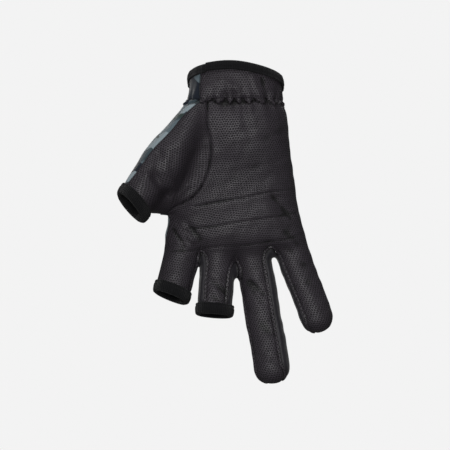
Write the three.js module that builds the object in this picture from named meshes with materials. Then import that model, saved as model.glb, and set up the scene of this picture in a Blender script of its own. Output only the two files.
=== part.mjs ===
// A right-hand fishing glove in its worn shape: the ring and little fingers are whole, the thumb, index and
// middle fingers are cut short and bound. Millimetres, +Z up; the hand goes in from above, the fingers point
// down, the palm faces -Y and the thumb is at -X. The origin lies in the cuff's mouth, over the middle of the palm.
// The glove is sewn from panels. Every panel lies on one hand form, an implicit surface f(p) = 0 made of a palm,
// four fingers, a thumb and the webs between them, and is a wall of even thickness cut along named seams.
import * as THREE from "three";

// Driving sizes
const wallThickness = 1.2;
const seamGap = 0.3;
const cuffHeight = 15;
const rimHeight = 9.8;
const rimDip = 8;
const rimTurn = -9;
const rimShift = -0.5;
const palmLength = 97;
const palmWidth = 88;
const palmDepth = 34;
const wristWidth = 63;
const wristDepth = 45;
const fingerWidth = 23;
const fingerDepth = 21;
const fingertipLength = 11.5;
const indexLength = 44.2;
const middleLength = 52.2;
const ringLength = 96.3;
const littleLength = 72;
const thumbLength = 88.7;
const thumbWidth = 27;
const thumbDepth = 27;
const thumbSlant = 3.2;
const indexSlant = 1.2;
const bindingWidth = 7.5;
const bindingThickness = 1;
const bindingGap = 0.3;
const gatherDepth = 1.5;
const gatherSpread = 5.5;
const gatherCount = 16;
const gatherTilt = 0.5;
const gatherEase = 8;
const gatherPhase = 4;
const waistDepth = 1.05;
const waistSpread = 1.65;

// A table is written as text: a heading of column names, then a row for each section, seam point or fold.
function table(text) {
  const [head, ...rows] = text.trim().split("\n").map((line) => line.trim().split(/\s+/));
  return rows.map((row) => Object.fromEntries(row.map((cell, i) => [head[i], Number.isNaN(+cell) ? cell : +cell])));
}

// Palm sections. level counts from the elastic, 0, to the finger webs, 1, and -1 is the wrist opening. The sides
// are shares of the width and depth, which go from the wrist's, at wrist 1, to the palm's, at wrist 0.
const palmSections = table(`
  level  left    right   front   back   wrist
  -2.05  -0.478  0.487   -0.29   0.735  1
  -0.6   -0.466  0.487   -0.39   0.61   1
  0      -0.457  0.497   -0.405  0.535  1
  0.124  -0.428  0.468   -0.505  0.53   0.6
  0.31   -0.41   0.429   -0.566  0.539  0.2
  0.485  -0.437  0.43    -0.544  0.53   0
  0.65   -0.472  0.453   -0.5    0.5    0
  0.825  -0.49   0.478   -0.456  0.456  0
  1.08   -0.52   0.52    -0.397  0.397  0
`);
const palmPower = 2.5;
const palmEndLevel = 0.876;
const palmEndShare = 0.134;

// Fingers: x and y of the root are shares of the palm's width and depth, lean and reach are the sideways and
// forward run for each millimetre down, the rest are shares of the finger sizes. bow is the bend to the back.
const fingerTable = table(`
  name    x       y     level  lean    reach  rootWidth  endWidth  rootDepth  endDepth  bow
  index   -0.343  0.03  0.876  -0.27   0.255  1.03       0.98      1.12       1.01      0.02
  middle  -0.109  0.03  0.897  -0.076  0.18   1.01       0.975     1.12       1.01      0.02
  ring    0.110   0.03  0.918  0.171   0.19   1.015      1.0       1.1        0.93      0.042
  little  0.356   0.06  0.856  0.376   0.163  0.965      0.91      1.05       0.88      0.042
`);
const fingerLengths = { index: indexLength, middle: middleLength, ring: ringLength, little: littleLength };
const slants = { index: indexSlant, middle: 0, ring: 0, little: 0 };
const wholeFingers = ["ring", "little"];
const fingerPower = 2.15;
const fingerRise = 1;

// The thumb leaves the wrist beside the palm: its root is a share of the wrist, its direction a plain slope.
const thumbRoot = { x: -0.3, y: 0, level: -0.13 };
const thumbSlope = [-48.4, -25, -72.2];
const thumbSections = table(`
  along  width  depth
  0      0.48   0.95
  0.3    0.74   1.15
  0.55   0.985  1.14
  0.8    0.92   1.0
  1      0.865  0.89
`);
const thumbPower = 2.1;
const thumbRise = 0.66;

// Webs: a short rounded bar across the hand between two fingers, and one at the thumb.
const webTable = table(`
  name          left    right   level
  index_middle  index   middle  1.052
  middle_ring   middle  ring    1.142
  ring_little   ring    little  1.005
`);
const webRadius = 3.2;
const webReach = 4.5;
const webShift = 0.04;
const thumbWeb = { x0: -0.57, y0: -0.27, level0: 0.672, x1: -0.4, y1: 0.03, level1: 0.33, radius: 8.2 };

// Dents: valleys pressed into the front from one point to another. x, width and depth are shares of the palm's
// width, and level is as above.
const folds = table(`
  x0      level0  x1      level1  width  depth
  -0.547  0.375   -0.575  0.52    0.048  0.023
  -0.575  0.52    -0.52   0.62    0.048  0.025
  -0.45   0.37    -0.49   0.5     0.046  0.016
  -0.1    0.42    0.1     0.55    0.2    0.018
  -0.45   0.77    -0.34   0.86    0.041  0.014
  0.31    0.66    0.37    0.74    0.046  0.013
  0.1     0.2     0.02    -0.2    0.04   0.01
`);

const { sqrt, abs, min, max, sin, cos, PI, hypot } = Math;
const degrees = (angle) => (angle * PI) / 180;
const mix = (a, b, t) => a + (b - a) * t;
const add = (a, b, k = 1) => [a[0] + k * b[0], a[1] + k * b[1], a[2] + k * b[2]];
const dot = (a, b) => a[0] * b[0] + a[1] * b[1] + a[2] * b[2];
const cross = (a, b) => [a[1] * b[2] - a[2] * b[1], a[2] * b[0] - a[0] * b[2], a[0] * b[1] - a[1] * b[0]];
const scale = (a, k) => [a[0] * k, a[1] * k, a[2] * k];
const unit = (a) => scale(a, 1 / hypot(...a));
const between = (a, b, t) => [mix(a[0], b[0], t), mix(a[1], b[1], t), mix(a[2], b[2], t)];

// The height of a level, and a smooth curve through one column of a table, level beyond its ends.
const height = (level) => -cuffHeight - level * (level < 0 ? cuffHeight : palmLength);
function column(rows, key, value) {
  const x = rows.map((row) => row[key]);
  const y = rows.map(value);
  const slope = y.map((_, i) => {
    const [a, b] = [max(i - 1, 0), min(i + 1, y.length - 1)];
    return (y[b] - y[a]) / (x[b] - x[a]);
  });
  return (at) => {
    const u = min(max(at, x[0]), x[x.length - 1]);
    let i = 0;
    while (i < x.length - 2 && u > x[i + 1]) i++;
    const h = x[i + 1] - x[i];
    const t = (u - x[i]) / h;
    return (
      (1 + 2 * t) * (1 - t) ** 2 * y[i] + t * (1 - t) ** 2 * h * slope[i] +
      t * t * (3 - 2 * t) * y[i + 1] + t * t * (t - 1) * h * slope[i + 1]
    );
  };
}

// The value of a rounded box: below 0 inside, about the distance in millimetres near its surface.
function rounded(offsets, sizes, power) {
  const q = offsets.map((o, i) => max(abs(o) / sizes[i], 1e-9));
  const g = q.reduce((sum, v) => sum + v ** power, 0) ** (1 / power);
  const slope = sqrt(q.reduce((sum, v, i) => sum + ((v / g) ** (power - 1) / sizes[i]) ** 2, 0));
  return (g - 1) / slope;
}
function joined(a, b, radius) {
  const h = max(radius - abs(a - b), 0) / radius;
  return min(a, b) - (h * h * radius) / 4;
}

// The palm
const widthAt = (row) => mix(palmWidth, wristWidth, row.wrist);
const depthAt = (row) => mix(palmDepth, wristDepth, row.wrist);
const levels = palmSections.map((row) => ({ ...row, drop: -height(row.level) }));
const palmLeft = column(levels, "drop", (row) => row.left * widthAt(row));
const palmRight = column(levels, "drop", (row) => row.right * widthAt(row));
const palmFront = column(levels, "drop", (row) => row.front * depthAt(row));
const palmBack = column(levels, "drop", (row) => row.back * depthAt(row));
function section(z) {
  const [l, r, f, b] = [palmLeft(-z), palmRight(-z), palmFront(-z), palmBack(-z)];
  return { x: (l + r) / 2, y: (f + b) / 2, halfWidth: (r - l) / 2, halfDepth: (b - f) / 2 };
}
function palm(p) {
  const s = section(p[2]);
  const below = max(height(palmEndLevel) - p[2], 0);
  return rounded([p[0] - s.x, p[1] - s.y, below], [s.halfWidth, s.halfDepth, palmEndShare * palmLength], palmPower);
}

// A frame along a finger or the thumb: along points to its end, side to +X and back away from the palm.
function limb(root, slope, length) {
  const along = unit(slope);
  const back = unit(add([0, 1, 0], along, -along[1]));
  const side = cross(back, along);
  return { root, along, back, side: side[0] < 0 ? scale(side, -1) : side, length };
}
const local = (l, p) => {
  const q = add(p, l.root, -1);
  return { s: dot(q, l.along), side: dot(q, l.side), back: dot(q, l.back) };
};

const fingers = fingerTable.map((row) => {
  const root = [row.x * palmWidth, row.y * palmDepth, height(row.level)];
  const whole = wholeFingers.includes(row.name);
  return { ...row, ...limb(root, [row.lean, -row.reach, -1], fingerLengths[row.name]), whole, slant: slants[row.name] };
});
const fingerNamed = (name) => fingers.find((f) => f.name === name);
const bowAt = (f, s) => {
  const t = min(max(s / f.length, 0), 1);
  return f.bow * f.length * 4 * t * (1 - t);
};
const fingerCentre = (f, s) => add(add(f.root, f.along, s), f.back, bowAt(f, s));
function fingerSize(f, s) {
  const t = min(max(s / f.length, 0), 1);
  const halfWidth = (fingerWidth / 2) * mix(f.rootWidth, f.endWidth, t);
  return { halfWidth, halfDepth: (fingerDepth / 2) * mix(f.rootDepth, f.endDepth, t) };
}
function finger(p, f) {
  const q = local(f, p);
  const { halfWidth, halfDepth } = fingerSize(f, q.s);
  const beyond = f.whole ? max(q.s - (f.length - fingertipLength), 0) : 0;
  const above = max(-q.s, 0);
  const offsets = [q.side, q.back - bowAt(f, q.s), beyond, above];
  return rounded(offsets, [halfWidth, halfDepth, fingertipLength, fingerRise * fingerWidth], fingerPower);
}

const thumbLimb = limb([thumbRoot.x * wristWidth, thumbRoot.y * wristDepth, height(thumbRoot.level)], thumbSlope, thumbLength);
const thumbHalfWidth = column(thumbSections, "along", (row) => (row.width * thumbWidth) / 2);
const thumbHalfDepth = column(thumbSections, "along", (row) => (row.depth * thumbDepth) / 2);
function thumb(p) {
  const q = local(thumbLimb, p);
  const t = q.s / thumbLimb.length;
  return rounded([q.side, q.back, max(-q.s, 0)], [thumbHalfWidth(t), thumbHalfDepth(t), thumbRise * thumbWidth], thumbPower);
}

// Where the middle line between two fingers crosses a height.
function midway(left, right, z) {
  const at = (f) => f.root[0] + (f.root[2] - z) * f.lean;
  return (at(left) + at(right)) / 2;
}
const webs = webTable.map((row) => {
  const [left, right] = [fingerNamed(row.left), fingerNamed(row.right)];
  const z = height(row.level);
  return { ...row, left, right, centre: [midway(left, right, z), webShift * palmDepth, z] };
});
function web(p, w) {
  const y = p[1] - w.centre[1];
  return hypot(p[0] - w.centre[0], y - min(max(y, -webReach), webReach), p[2] - w.centre[2]) - webRadius;
}
const thumbWebLow = [thumbWeb.x0 * palmWidth, thumbWeb.y0 * palmDepth, height(thumbWeb.level0)];
const thumbWebHigh = [thumbWeb.x1 * palmWidth, thumbWeb.y1 * palmDepth, height(thumbWeb.level1)];
function barBetween(p, a, b, radius) {
  const [line, from] = [add(b, a, -1), add(p, a, -1)];
  const t = min(max(dot(from, line) / dot(line, line), 0), 1);
  return hypot(...add(from, line, -t)) - radius;
}

// The elastic's height: level at the front and lower at the back, as the cuff leans that way.
const gatherLine = (y) => height(0) - (y > 0 ? (gatherTilt * y * y) / (y + gatherEase) : 0);

// How far the fabric is pressed in at a point: the folds, and the puckers that the elastic draws.
const foldLines = folds.map((row) => ({
  from: [row.x0 * palmWidth, 0, height(row.level0)],
  to: [row.x1 * palmWidth, 0, height(row.level1)],
  width: row.width * palmWidth,
  depth: row.depth * palmWidth,
}));
function pressed(p) {
  let sum = 0;
  for (const fold of foldLines) {
    const line = add(fold.to, fold.from, -1);
    const from = [p[0] - fold.from[0], 0, p[2] - fold.from[2]];
    const t = min(max(dot(from, [line[0], 0, line[2]]) / (line[0] ** 2 + line[2] ** 2), 0), 1);
    const far = hypot(from[0] - t * line[0], from[2] - t * line[2]);
    if (p[1] < 0) sum += fold.depth * Math.exp(-((far / fold.width) ** 2));
  }
  const z = p[2] - gatherLine(p[1]);
  if (abs(z) < 3 * gatherSpread) {
    const s = section(p[2]);
    const round = Math.atan2(p[0] - s.x, s.y - p[1]);
    const near = Math.exp(-((z / gatherSpread) ** 2));
    const waist = Math.exp(-((z / waistSpread) ** 2));
    const pucker = 0.5 - 0.5 * cos(gatherCount * (round - degrees(gatherPhase)));
    sum += gatherDepth * near * pucker + waistDepth * waist;
  }
  return sum;
}

const fingerBlend = 2.5;
const webBlend = 4;
const palmBlend = 7;
const thumbBlend = 11;
function form(p) {
  let g = finger(p, fingers[0]);
  for (const f of fingers.slice(1)) g = joined(g, finger(p, f), fingerBlend);
  for (const w of webs) g = joined(g, web(p, w), webBlend);
  const t = joined(thumb(p), barBetween(p, thumbWebLow, thumbWebHigh, thumbWeb.radius), thumbBlend);
  return joined(joined(palm(p), g, palmBlend), t, thumbBlend) + pressed(p);
}

// A point of the surface is { p, n }: its place and its outward normal.
function normalAt(p) {
  const e = 0.08;
  const rise = (axis) => form(add(p, axis, e)) - form(add(p, axis, -e));
  return unit([rise([1, 0, 0]), rise([0, 1, 0]), rise([0, 0, 1])]);
}
// The crossing of f = 0 nearest to a guess along a direction that points outwards, or the nearest point.
function settle(guess, direction, reach = 16) {
  const d = unit(direction);
  const value = (t) => form(add(guess, d, t));
  let [above, below] = [value(0), value(0)];
  for (let t = 1; t <= reach; t++) {
    const up = value(t);
    if (above < 0 && up >= 0) return bisect(guess, d, t - 1, t);
    above = up;
    const down = value(-t);
    if (below > 0 && down <= 0) return bisect(guess, d, -t, 1 - t);
    below = down;
  }
  return nearest(guess);
}
function bisect(from, d, inside, outside) {
  for (let i = 0; i < 16; i++) {
    const t = (inside + outside) / 2;
    if (form(add(from, d, t)) < 0) inside = t;
    else outside = t;
  }
  const p = add(from, d, inside);
  return { p, n: normalAt(p) };
}
// The surface point that steps down the slope of the form lead to.
function nearest(guess) {
  let p = guess;
  for (let i = 0; i < 40; i++) {
    const f = form(p);
    if (abs(f) < 1e-5) break;
    p = add(p, normalAt(p), -0.8 * f);
  }
  return { p, n: normalAt(p) };
}
// The first crossing on a ray that starts inside.
function cast(origin, direction, reach = 60) {
  const d = unit(direction);
  for (let t = 1; t <= reach; t++) if (form(add(origin, d, t)) > 0) return bisect(origin, d, t - 1, t);
  throw new Error("a ray from " + origin.map((v) => v.toFixed(1)) + " leaves nothing");
}
const outside = 2 * palmDepth;
const onFront = (x, z) => settle([x, section(z).y - outside / 2, z], [0, -1, 0], outside);
const onBack = (x, z) => settle([x, section(z).y + outside / 2, z], [0, 1, 0], outside);
function onWrist(z, angle) {
  const s = section(z);
  return cast([s.x, s.y, z], [sin(degrees(angle)), -cos(degrees(angle)), 0]);
}
const around = (l, angle) => add(scale(l.side, sin(degrees(angle))), l.back, -cos(degrees(angle)));
function onFinger(f, s, angle) {
  const { halfWidth, halfDepth } = fingerSize(f, s);
  const share = abs(sin(degrees(angle))) / halfWidth;
  const radius = (share ** fingerPower + (abs(cos(degrees(angle))) / halfDepth) ** fingerPower) ** (-1 / fingerPower);
  return nearest(add(fingerCentre(f, s), around(f, angle), radius));
}
const onThumb = (s, angle) => cast(add(thumbLimb.root, thumbLimb.along, s), around(thumbLimb, angle), 40);

const steps = (count, make) => Array.from({ length: count + 1 }, (_, i) => make(i / count, i));

// A smooth line of count + 1 points through given points, evenly spaced and settled on the form.
function rail(points, count) {
  const curve = new THREE.CatmullRomCurve3(points.map(({ p }) => new THREE.Vector3(...p)), false, "centripetal");
  return steps(count, (t, i) => {
    if (i === 0) return points[0];
    return i === count ? points.at(-1) : nearest(curve.getPointAt(t).toArray());
  });
}

// A patch between four lines that share corners: rows run from top to bottom and columns from left to right.
// A chart turns a point into numbers that can be mixed, and back into a point of the form.
const plainChart = { read: ({ p, n }) => [...p, ...n], point: (c) => settle(c.slice(0, 3), c.slice(3)) };
const thumbChart = {
  read: ({ p }) => {
    const q = local(thumbLimb, p);
    const angle = (Math.atan2(q.side, -q.back) * 180) / PI;
    return [q.s, angle < 0 ? angle + 360 : angle, hypot(q.side, q.back)];
  },
  point: ([s, angle, radius]) => nearest(add(add(thumbLimb.root, thumbLimb.along, s), around(thumbLimb, angle), radius)),
};
const frontMiddle = 25;
const backMiddle = 190;
const handChart = (middle) => ({
  read: ({ p }) => {
    const s = section(p[2]);
    const angle = (Math.atan2((p[0] - s.x) / s.halfWidth, (s.y - p[1]) / s.halfDepth) * 180) / PI;
    return [p[2], angle + 360 * Math.round((middle - angle) / 360)];
  },
  point: ([z, angle]) => {
    const s = section(z);
    return cast([s.x, s.y, z], [s.halfWidth * sin(degrees(angle)), -s.halfDepth * cos(degrees(angle)), 0]);
  },
});
function patch(top, bottom, left, right, chart = plainChart) {
  const [rows, columns] = [left.length - 1, top.length - 1];
  const [tops, bottoms, lefts, rights] = [top, bottom, left, right].map((line) => line.map(chart.read));
  return steps(rows, (v, j) =>
    steps(columns, (u, i) => {
      if (j === 0) return top[i];
      if (j === rows) return bottom[i];
      if (i === 0) return left[j];
      if (i === columns) return right[j];
      const numbers = tops[0].map((_, k) => {
        const across = mix(lefts[j][k], rights[j][k], u);
        const down = mix(tops[i][k], bottoms[i][k], v);
        const corners = mix(mix(tops[0][k], tops[columns][k], u), mix(bottoms[0][k], bottoms[columns][k], u), v);
        return across + down - corners;
      });
      return chart.point(numbers);
    }),
  );
}

// Lines down a finger. Angles are round its middle line, 0 at the front and positive to +X. A line starts at
// the crotch row, turns to its own angle within the crotch arc and keeps it to the finger's end.
const seamTable = table(`
  name    frontLeft  frontRight  backLeft  backRight  tipLeft  tipRight
  index   -100       74          260       120        0        0
  middle  -44        47          236       124        0        0
  ring    -74        40          228       122        -104     82
  little  -54        112         236       112        -88      112
`);
const crotchTable = table(`
  name          front  back
  index_middle  1.019  1.045
  middle_ring   1.08   1.09
  ring_little   0.991  0.99
`);
const crotchArc = 9;
const crotchRuns = [crotchArc / 6, crotchArc / 2, crotchArc];
const tipTurn = 58;
const columnsPerFinger = 7;
const rowsDown = { cut: 2, whole: 5 };
const rowsAtTip = 4;
const seamsOf = (f) => seamTable.find((row) => row.name === f.name);
const lastAngle = (f, angle) => f.length + f.slant * sin(degrees(angle));
function placeOn(f, point, near) {
  const q = local(f, point.p);
  const angle = (Math.atan2(q.side, bowAt(f, q.s) - q.back) * 180) / PI;
  return { s: q.s, angle: angle + 360 * Math.round((near - angle) / 360) };
}
// The seam over a whole fingertip, as directions from the tip's middle: left seam, tip, right seam.
function tipDirection(f, u) {
  const { tipLeft, tipRight } = seamsOf(f);
  const turn = degrees(mix(tipTurn, 180 - tipTurn, u));
  const sideways = cos(turn) > 0 ? around(f, tipLeft) : around(f, tipRight);
  return add(scale(sideways, abs(cos(turn))), f.along, sin(turn));
}
function fingerLine(f, start, angle, tip) {
  const from = placeOn(f, start, angle);
  const stop = f.whole ? f.length - fingertipLength : lastAngle(f, angle) - bindingWidth;
  const down = f.whole ? rowsDown.whole : rowsDown.cut;
  const begin = from.s + crotchArc;
  const places = [...crotchRuns.map((run) => from.s + run), ...steps(down, (t) => mix(begin, stop, t)).slice(1)];
  const line = places.map((s) => {
    const run = min((s - from.s) / crotchArc, 1);
    return onFinger(f, s, mix(from.angle, angle, sqrt(1 - (1 - run) ** 2)));
  });
  if (!f.whole) return [start, ...line, onFinger(f, lastAngle(f, angle), angle)];
  const centre = fingerCentre(f, stop);
  const cap = steps(rowsAtTip, (t) => cast(centre, add(scale(around(f, angle), 1 - t), unit(tip), t), 30));
  return [start, ...line, ...cap.slice(1)];
}

// The corners of the panels.
const indexFinger = fingerNamed("index");
const littleFinger = fingerNamed("little");
const crotches = webs.map((w) => {
  const { front, back } = crotchTable.find((row) => row.name === w.name);
  const x = (level) => midway(w.left, w.right, height(level));
  return { front: onFront(x(front), height(front)), back: onBack(x(back), height(back)) };
});
const radialStart = onFinger(indexFinger, 0.35 * indexLength, seamsOf(indexFinger).frontLeft);
const ulnarStart = onFinger(littleFinger, 0.2 * littleLength, seamsOf(littleFinger).frontRight);

// The seams down the fingers, shared by the pieces on both sides of each.
const tipStarts = fingers.map((f) => f.whole && [0, 1].map((u) => tipDirection(f, u)));
function fingerSeams(side) {
  const stops = [radialStart, ...crotches.map((c) => c[side]), ulnarStart];
  return fingers.map((f, k) => {
    const row = seamsOf(f);
    const angles = side === "front" ? [row.frontLeft, row.frontRight] : [row.backLeft, row.backRight];
    return [0, 1].map((end) => fingerLine(f, stops[k + end], angles[end], tipStarts[k] && tipStarts[k][end]));
  });
}
const frontSeams = fingerSeams("front");
const backSeams = fingerSeams("back");
backSeams[0][0] = frontSeams[0][0];
backSeams[3][1] = frontSeams[3][1];
fingers.forEach((f, k) => {
  if (!f.whole) return;
  backSeams[k][0][backSeams[k][0].length - 1] = frontSeams[k][0].at(-1);
  backSeams[k][1][backSeams[k][1].length - 1] = frontSeams[k][1].at(-1);
});
const tipLines = fingers.map((f, k) => f.whole && steps(columnsPerFinger, (u, i) => {
  if (i === 0) return frontSeams[k][0].at(-1);
  if (i === columnsPerFinger) return frontSeams[k][1].at(-1);
  return cast(fingerCentre(f, f.length - fingertipLength), tipDirection(f, u), 30);
}));
function fingerSide(side, k) {
  const f = fingers[k];
  const [left, right] = (side === "front" ? frontSeams : backSeams)[k];
  const row = seamsOf(f);
  const [a, b] = side === "front" ? [row.frontLeft, row.frontRight] : [row.backLeft, row.backRight];
  const [from, to] = [placeOn(f, left[0], a), placeOn(f, right[0], b)];
  const lines = steps(columnsPerFinger, (u, i) => {
    if (i === 0) return left;
    if (i === columnsPerFinger) return right;
    const start = onFinger(f, mix(from.s, to.s, u), mix(from.angle, to.angle, u));
    const line = fingerLine(f, start, mix(a, b, u), f.whole && tipDirection(f, u));
    if (f.whole) line[line.length - 1] = tipLines[k][i];
    return line;
  });
  return left.map((_, j) => lines.map((line) => line[j]));
}

// The seams of the thumb, the wrist and the two edges of the hand.
const cuffAngles = { edge: -53, front: -45, back: -112, ulnar: 114 };
const thumbSeams = { outer: -58, inner: 128 };
const arcPoints = table(`
  x       level
  -0.2    0.156
  -0.178  0.295
  -0.183  0.402
  -0.208  0.494
  -0.251  0.578
  -0.319  0.648
  -0.403  0.69
`);
const backArcPoints = table(`
  x       y      level
  -0.375  0.35   0.2
  -0.4    0.3    0.36
  -0.46   0.18   0.5
  -0.525  0.05   0.62
  -0.535  -0.08  0.7
`);
const outerPoints = table(`
  x       level
  -0.353  0.086
  -0.489  0.225
  -0.602  0.333
  -0.717  0.478
`);
const palmRows = 14;
const cuffRows = 4;
const arcRows = 11;
const thumbRows = 13;
const leafColumns = 6;
const onPalmFront = (row) => onFront(row.x * palmWidth, height(row.level));
const byShares = (row) => nearest([row.x * palmWidth, row.y * palmDepth, height(row.level)]);
const rim = (angle) => {
  const share = cos(degrees(angle - rimTurn));
  return (share > 0 ? rimHeight : rimDip) * share + rimShift;
};
function wrist(angle) {
  let point = onWrist(height(0), angle);
  for (let i = 0; i < 6; i++) point = onWrist(gatherLine(point.p[1]), angle);
  return point;
}
const corners = { edge: wrist(cuffAngles.edge), front: wrist(cuffAngles.front), back: wrist(cuffAngles.back) };
const junction = byShares({ x: -0.55, y: -0.22, level: 0.77 });
const frontArc = rail([corners.front, ...arcPoints.map(onPalmFront), junction], arcRows);
const backArc = rail([corners.back, ...backArcPoints.map(byShares), junction], arcRows);
const radialSeam = rail([junction, radialStart], palmRows - arcRows);
const edgePoint = (level) => {
  const s = section(height(level));
  return cast([s.x + s.halfWidth - s.halfDepth, s.y, height(level)], [sin(degrees(112)), -cos(degrees(112)), 0]);
};
const ulnarSeam = rail([wrist(cuffAngles.ulnar), ...[0.25, 0.5, 0.75].map(edgePoint), ulnarStart], palmRows);
const thumbEnd = (angle) => thumbLength + thumbSlant * sin(degrees(angle));
const thumbPair = (angle) => [onThumb(thumbEnd(angle) - bindingWidth, angle), onThumb(thumbEnd(angle), angle)];
const [outerStop, outerEnd] = thumbPair(thumbSeams.outer);
const [innerStop, innerEnd] = thumbPair(thumbSeams.inner);
const outerSeam = rail([corners.edge, ...outerPoints.map(onPalmFront), outerStop], thumbRows);
const innerSeam = rail([junction, innerStop], thumbRows - arcRows);

// A line of the cuff at an angle round the wrist, from the rim to the elastic; its first step holds the binding.
const wristBindingWidth = 6.5;
const cuffLine = (angle, end) => {
  const top = rim(angle);
  const under = top - wristBindingWidth;
  const rest = steps(cuffRows - 1, (t) => onWrist(mix(under, end.p[2], t), angle)).slice(0, -1);
  return [onWrist(top, angle), ...rest, end];
};

// Palm and back panels: a cuff, a palm and four fingers, joined row by row.
function handPanel(side, angles, cornerPoints, leftSeam) {
  const sides = fingers.map((f, k) => fingerSide(side, k));
  const bottom = [sides[0][0][0], ...sides.flatMap((rows) => rows[0].slice(1))];
  const columns = bottom.length - 1;
  const [edge, start, end] = angles;
  const chart = handChart(side === "front" ? frontMiddle : backMiddle);
  const extra = side === "front" ? 1 : leafColumns;
  const gatherAngles = [...steps(extra, (t) => mix(edge, start, t)).slice(0, -1), ...steps(columns, (t) => mix(start, end, t))];
  const gather = gatherAngles.map((angle, i) => {
    if (i === 0) return cornerPoints[0];
    if (i === extra) return cornerPoints[1];
    return i === extra + columns ? ulnarSeam[0] : wrist(angle);
  });
  const lines = gather.map((point, i) => cuffLine(gatherAngles[i], point));
  const cuff = lines[0].map((_, j) => lines.map((line) => line[j]));
  return { cuff, gather, sides, grids: [cuff, patch(gather.slice(extra), bottom, leftSeam, ulnarSeam, chart), ...sides] };
}

// The wall of a piece: its outer grid, the same grid moved in by the wall, and a strip round the edge. The edge
// is first drawn back by half the seam gap. Grids that share points are joined there.
function wall(grids) {
  const ids = new Map();
  const points = [];
  const id = (point) => {
    if (!ids.has(point)) {
      ids.set(point, points.length);
      points.push({ ...point });
    }
    return ids.get(point);
  };
  let triangles = [];
  for (const grid of grids) {
    for (let j = 0; j + 1 < grid.length; j++) {
      for (let i = 0; i + 1 < grid[j].length; i++) {
        const [a, b, c, d] = [grid[j][i], grid[j + 1][i], grid[j + 1][i + 1], grid[j][i + 1]].map(id);
        triangles.push([a, b, c], [a, c, d]);
      }
    }
  }
  triangles = triangles.filter(([a, b, c]) => a !== b && b !== c && c !== a);
  const facing = triangles.reduce((sum, [a, b, c]) => {
    const n = cross(add(points[b].p, points[a].p, -1), add(points[c].p, points[a].p, -1));
    return sum + dot(n, points[a].n);
  }, 0);
  if (facing < 0) triangles.forEach((t) => t.reverse());
  const edges = new Map();
  for (const t of triangles) t.forEach((a, k) => edges.set(a + "," + t[(k + 1) % 3], [a, t[(k + 1) % 3]]));
  const boundary = [...edges.values()].filter(([a, b]) => !edges.has(b + "," + a));
  const next = new Map(boundary);
  const before = new Map(boundary.map(([a, b]) => [b, a]));
  if (next.size !== boundary.length) throw new Error("an edge crosses itself");
  const inwards = (a, b) => unit(cross(points[a].n, add(points[b].p, points[a].p, -1)));
  const moved = boundary.map(([a, b]) => {
    const [m1, m2] = [inwards(before.get(a), a), inwards(a, b)];
    return add(points[a].p, add(m1, m2), seamGap / 2 / max(1 + dot(m1, m2), 0.3));
  });
  boundary.forEach(([a], i) => (points[a].p = moved[i]));
  const under = points.map(({ p, n }) => add(p, n, -wallThickness));
  const count = points.length;
  const faces = triangles.flatMap(([a, b, c]) => [a, b, c, a + count, c + count, b + count]);
  for (const [a, b] of boundary) faces.push(b, a, a + count, b, a + count, b + count);
  return solid([...points.map(({ p }) => p), ...under], faces);
}
function solid(points, faces) {
  const geometry = new THREE.BufferGeometry();
  geometry.setAttribute("position", new THREE.Float32BufferAttribute(points.flat(), 3));
  geometry.setIndex(faces);
  geometry.computeVertexNormals();
  return geometry;
}

// A binding: a tape folded over the edge of a wall. Its stations are pairs of points on the same lines as the
// wall's, the edge and the row before it, so that the tape runs level with the wall on both faces. The third
// entry tells which way the wall's squares are halved there, and the tape's are halved the same way.
function binding(stations, width) {
  const [near, far] = [bindingGap, bindingGap + bindingThickness];
  const [inner, innerFar] = [-wallThickness - bindingGap, -wallThickness - far];
  const foot = -(width - far);
  const round = 0.4 * bindingThickness;
  const profile = [
    [foot, near], [foot, far], [near, far], [far, far - round], [far, innerFar + round],
    [near, innerFar], [foot, innerFar], [foot, inner], [near / 2, inner], [near / 2, near],
  ];
  const points = stations.flatMap(([edge, row]) => {
    const length = hypot(...add(edge.p, row.p, -1));
    const along = unit(add(edge.p, row.p, -1));
    return profile.map(([run, rise]) => {
      const n = between(edge.n, row.n, min(max(-run / length, 0), 1));
      return add(add(edge.p, along, run), n, rise);
    });
  });
  const [m, n] = [profile.length, stations.length];
  const faces = [];
  for (let i = 0; i < n; i++) {
    for (let k = 0; k < m; k++) {
      const [a, b] = [i * m + k, i * m + ((k + 1) % m)];
      const [c, d] = [((i + 1) % n) * m + k, ((i + 1) % n) * m + ((k + 1) % m)];
      const outwards = profile[k][0] < profile[(k + 1) % m][0];
      if (outwards === stations[(i + 1) % n][2]) faces.push([a, b, c], [b, d, c]);
      else faces.push([a, b, d], [a, d, c]);
    }
  }
  const volume = faces.reduce((sum, [a, b, c]) => sum + dot(points[a], cross(points[b], points[c])), 0);
  if (volume < 0) faces.forEach((face) => face.reverse());
  return solid(points, faces.flat());
}

const materials = {
  leather: new THREE.MeshStandardMaterial({ color: 0x2b292c, roughness: 0.62 }),
  plain: new THREE.MeshStandardMaterial({ color: 0x1e1d20, roughness: 0.5 }),
  camouflage: new THREE.MeshStandardMaterial({ color: 0x4a555a, roughness: 0.85 }),
  knit: new THREE.MeshStandardMaterial({ color: 0x111214, roughness: 0.95 }),
};
const glove = new THREE.Group();
function piece(name, geometry, material) {
  const mesh = new THREE.Mesh(geometry, materials[material].clone());
  mesh.name = name;
  glove.add(mesh);
}

const leftFront = [...frontArc, ...radialSeam.slice(1)];
const leftBack = [...backArc, ...radialSeam.slice(1)];
const { edge, front, back, ulnar } = cuffAngles;
const palmPanel = handPanel("front", [edge, front, ulnar], [corners.edge, corners.front], leftFront);
const backPanel = handPanel("back", [edge + 360, back + 360, ulnar], [corners.edge, corners.back], leftBack);
piece("palm_panel", wall(palmPanel.grids), "leather");
piece("back_panel", wall(backPanel.grids), "camouflage");

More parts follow.
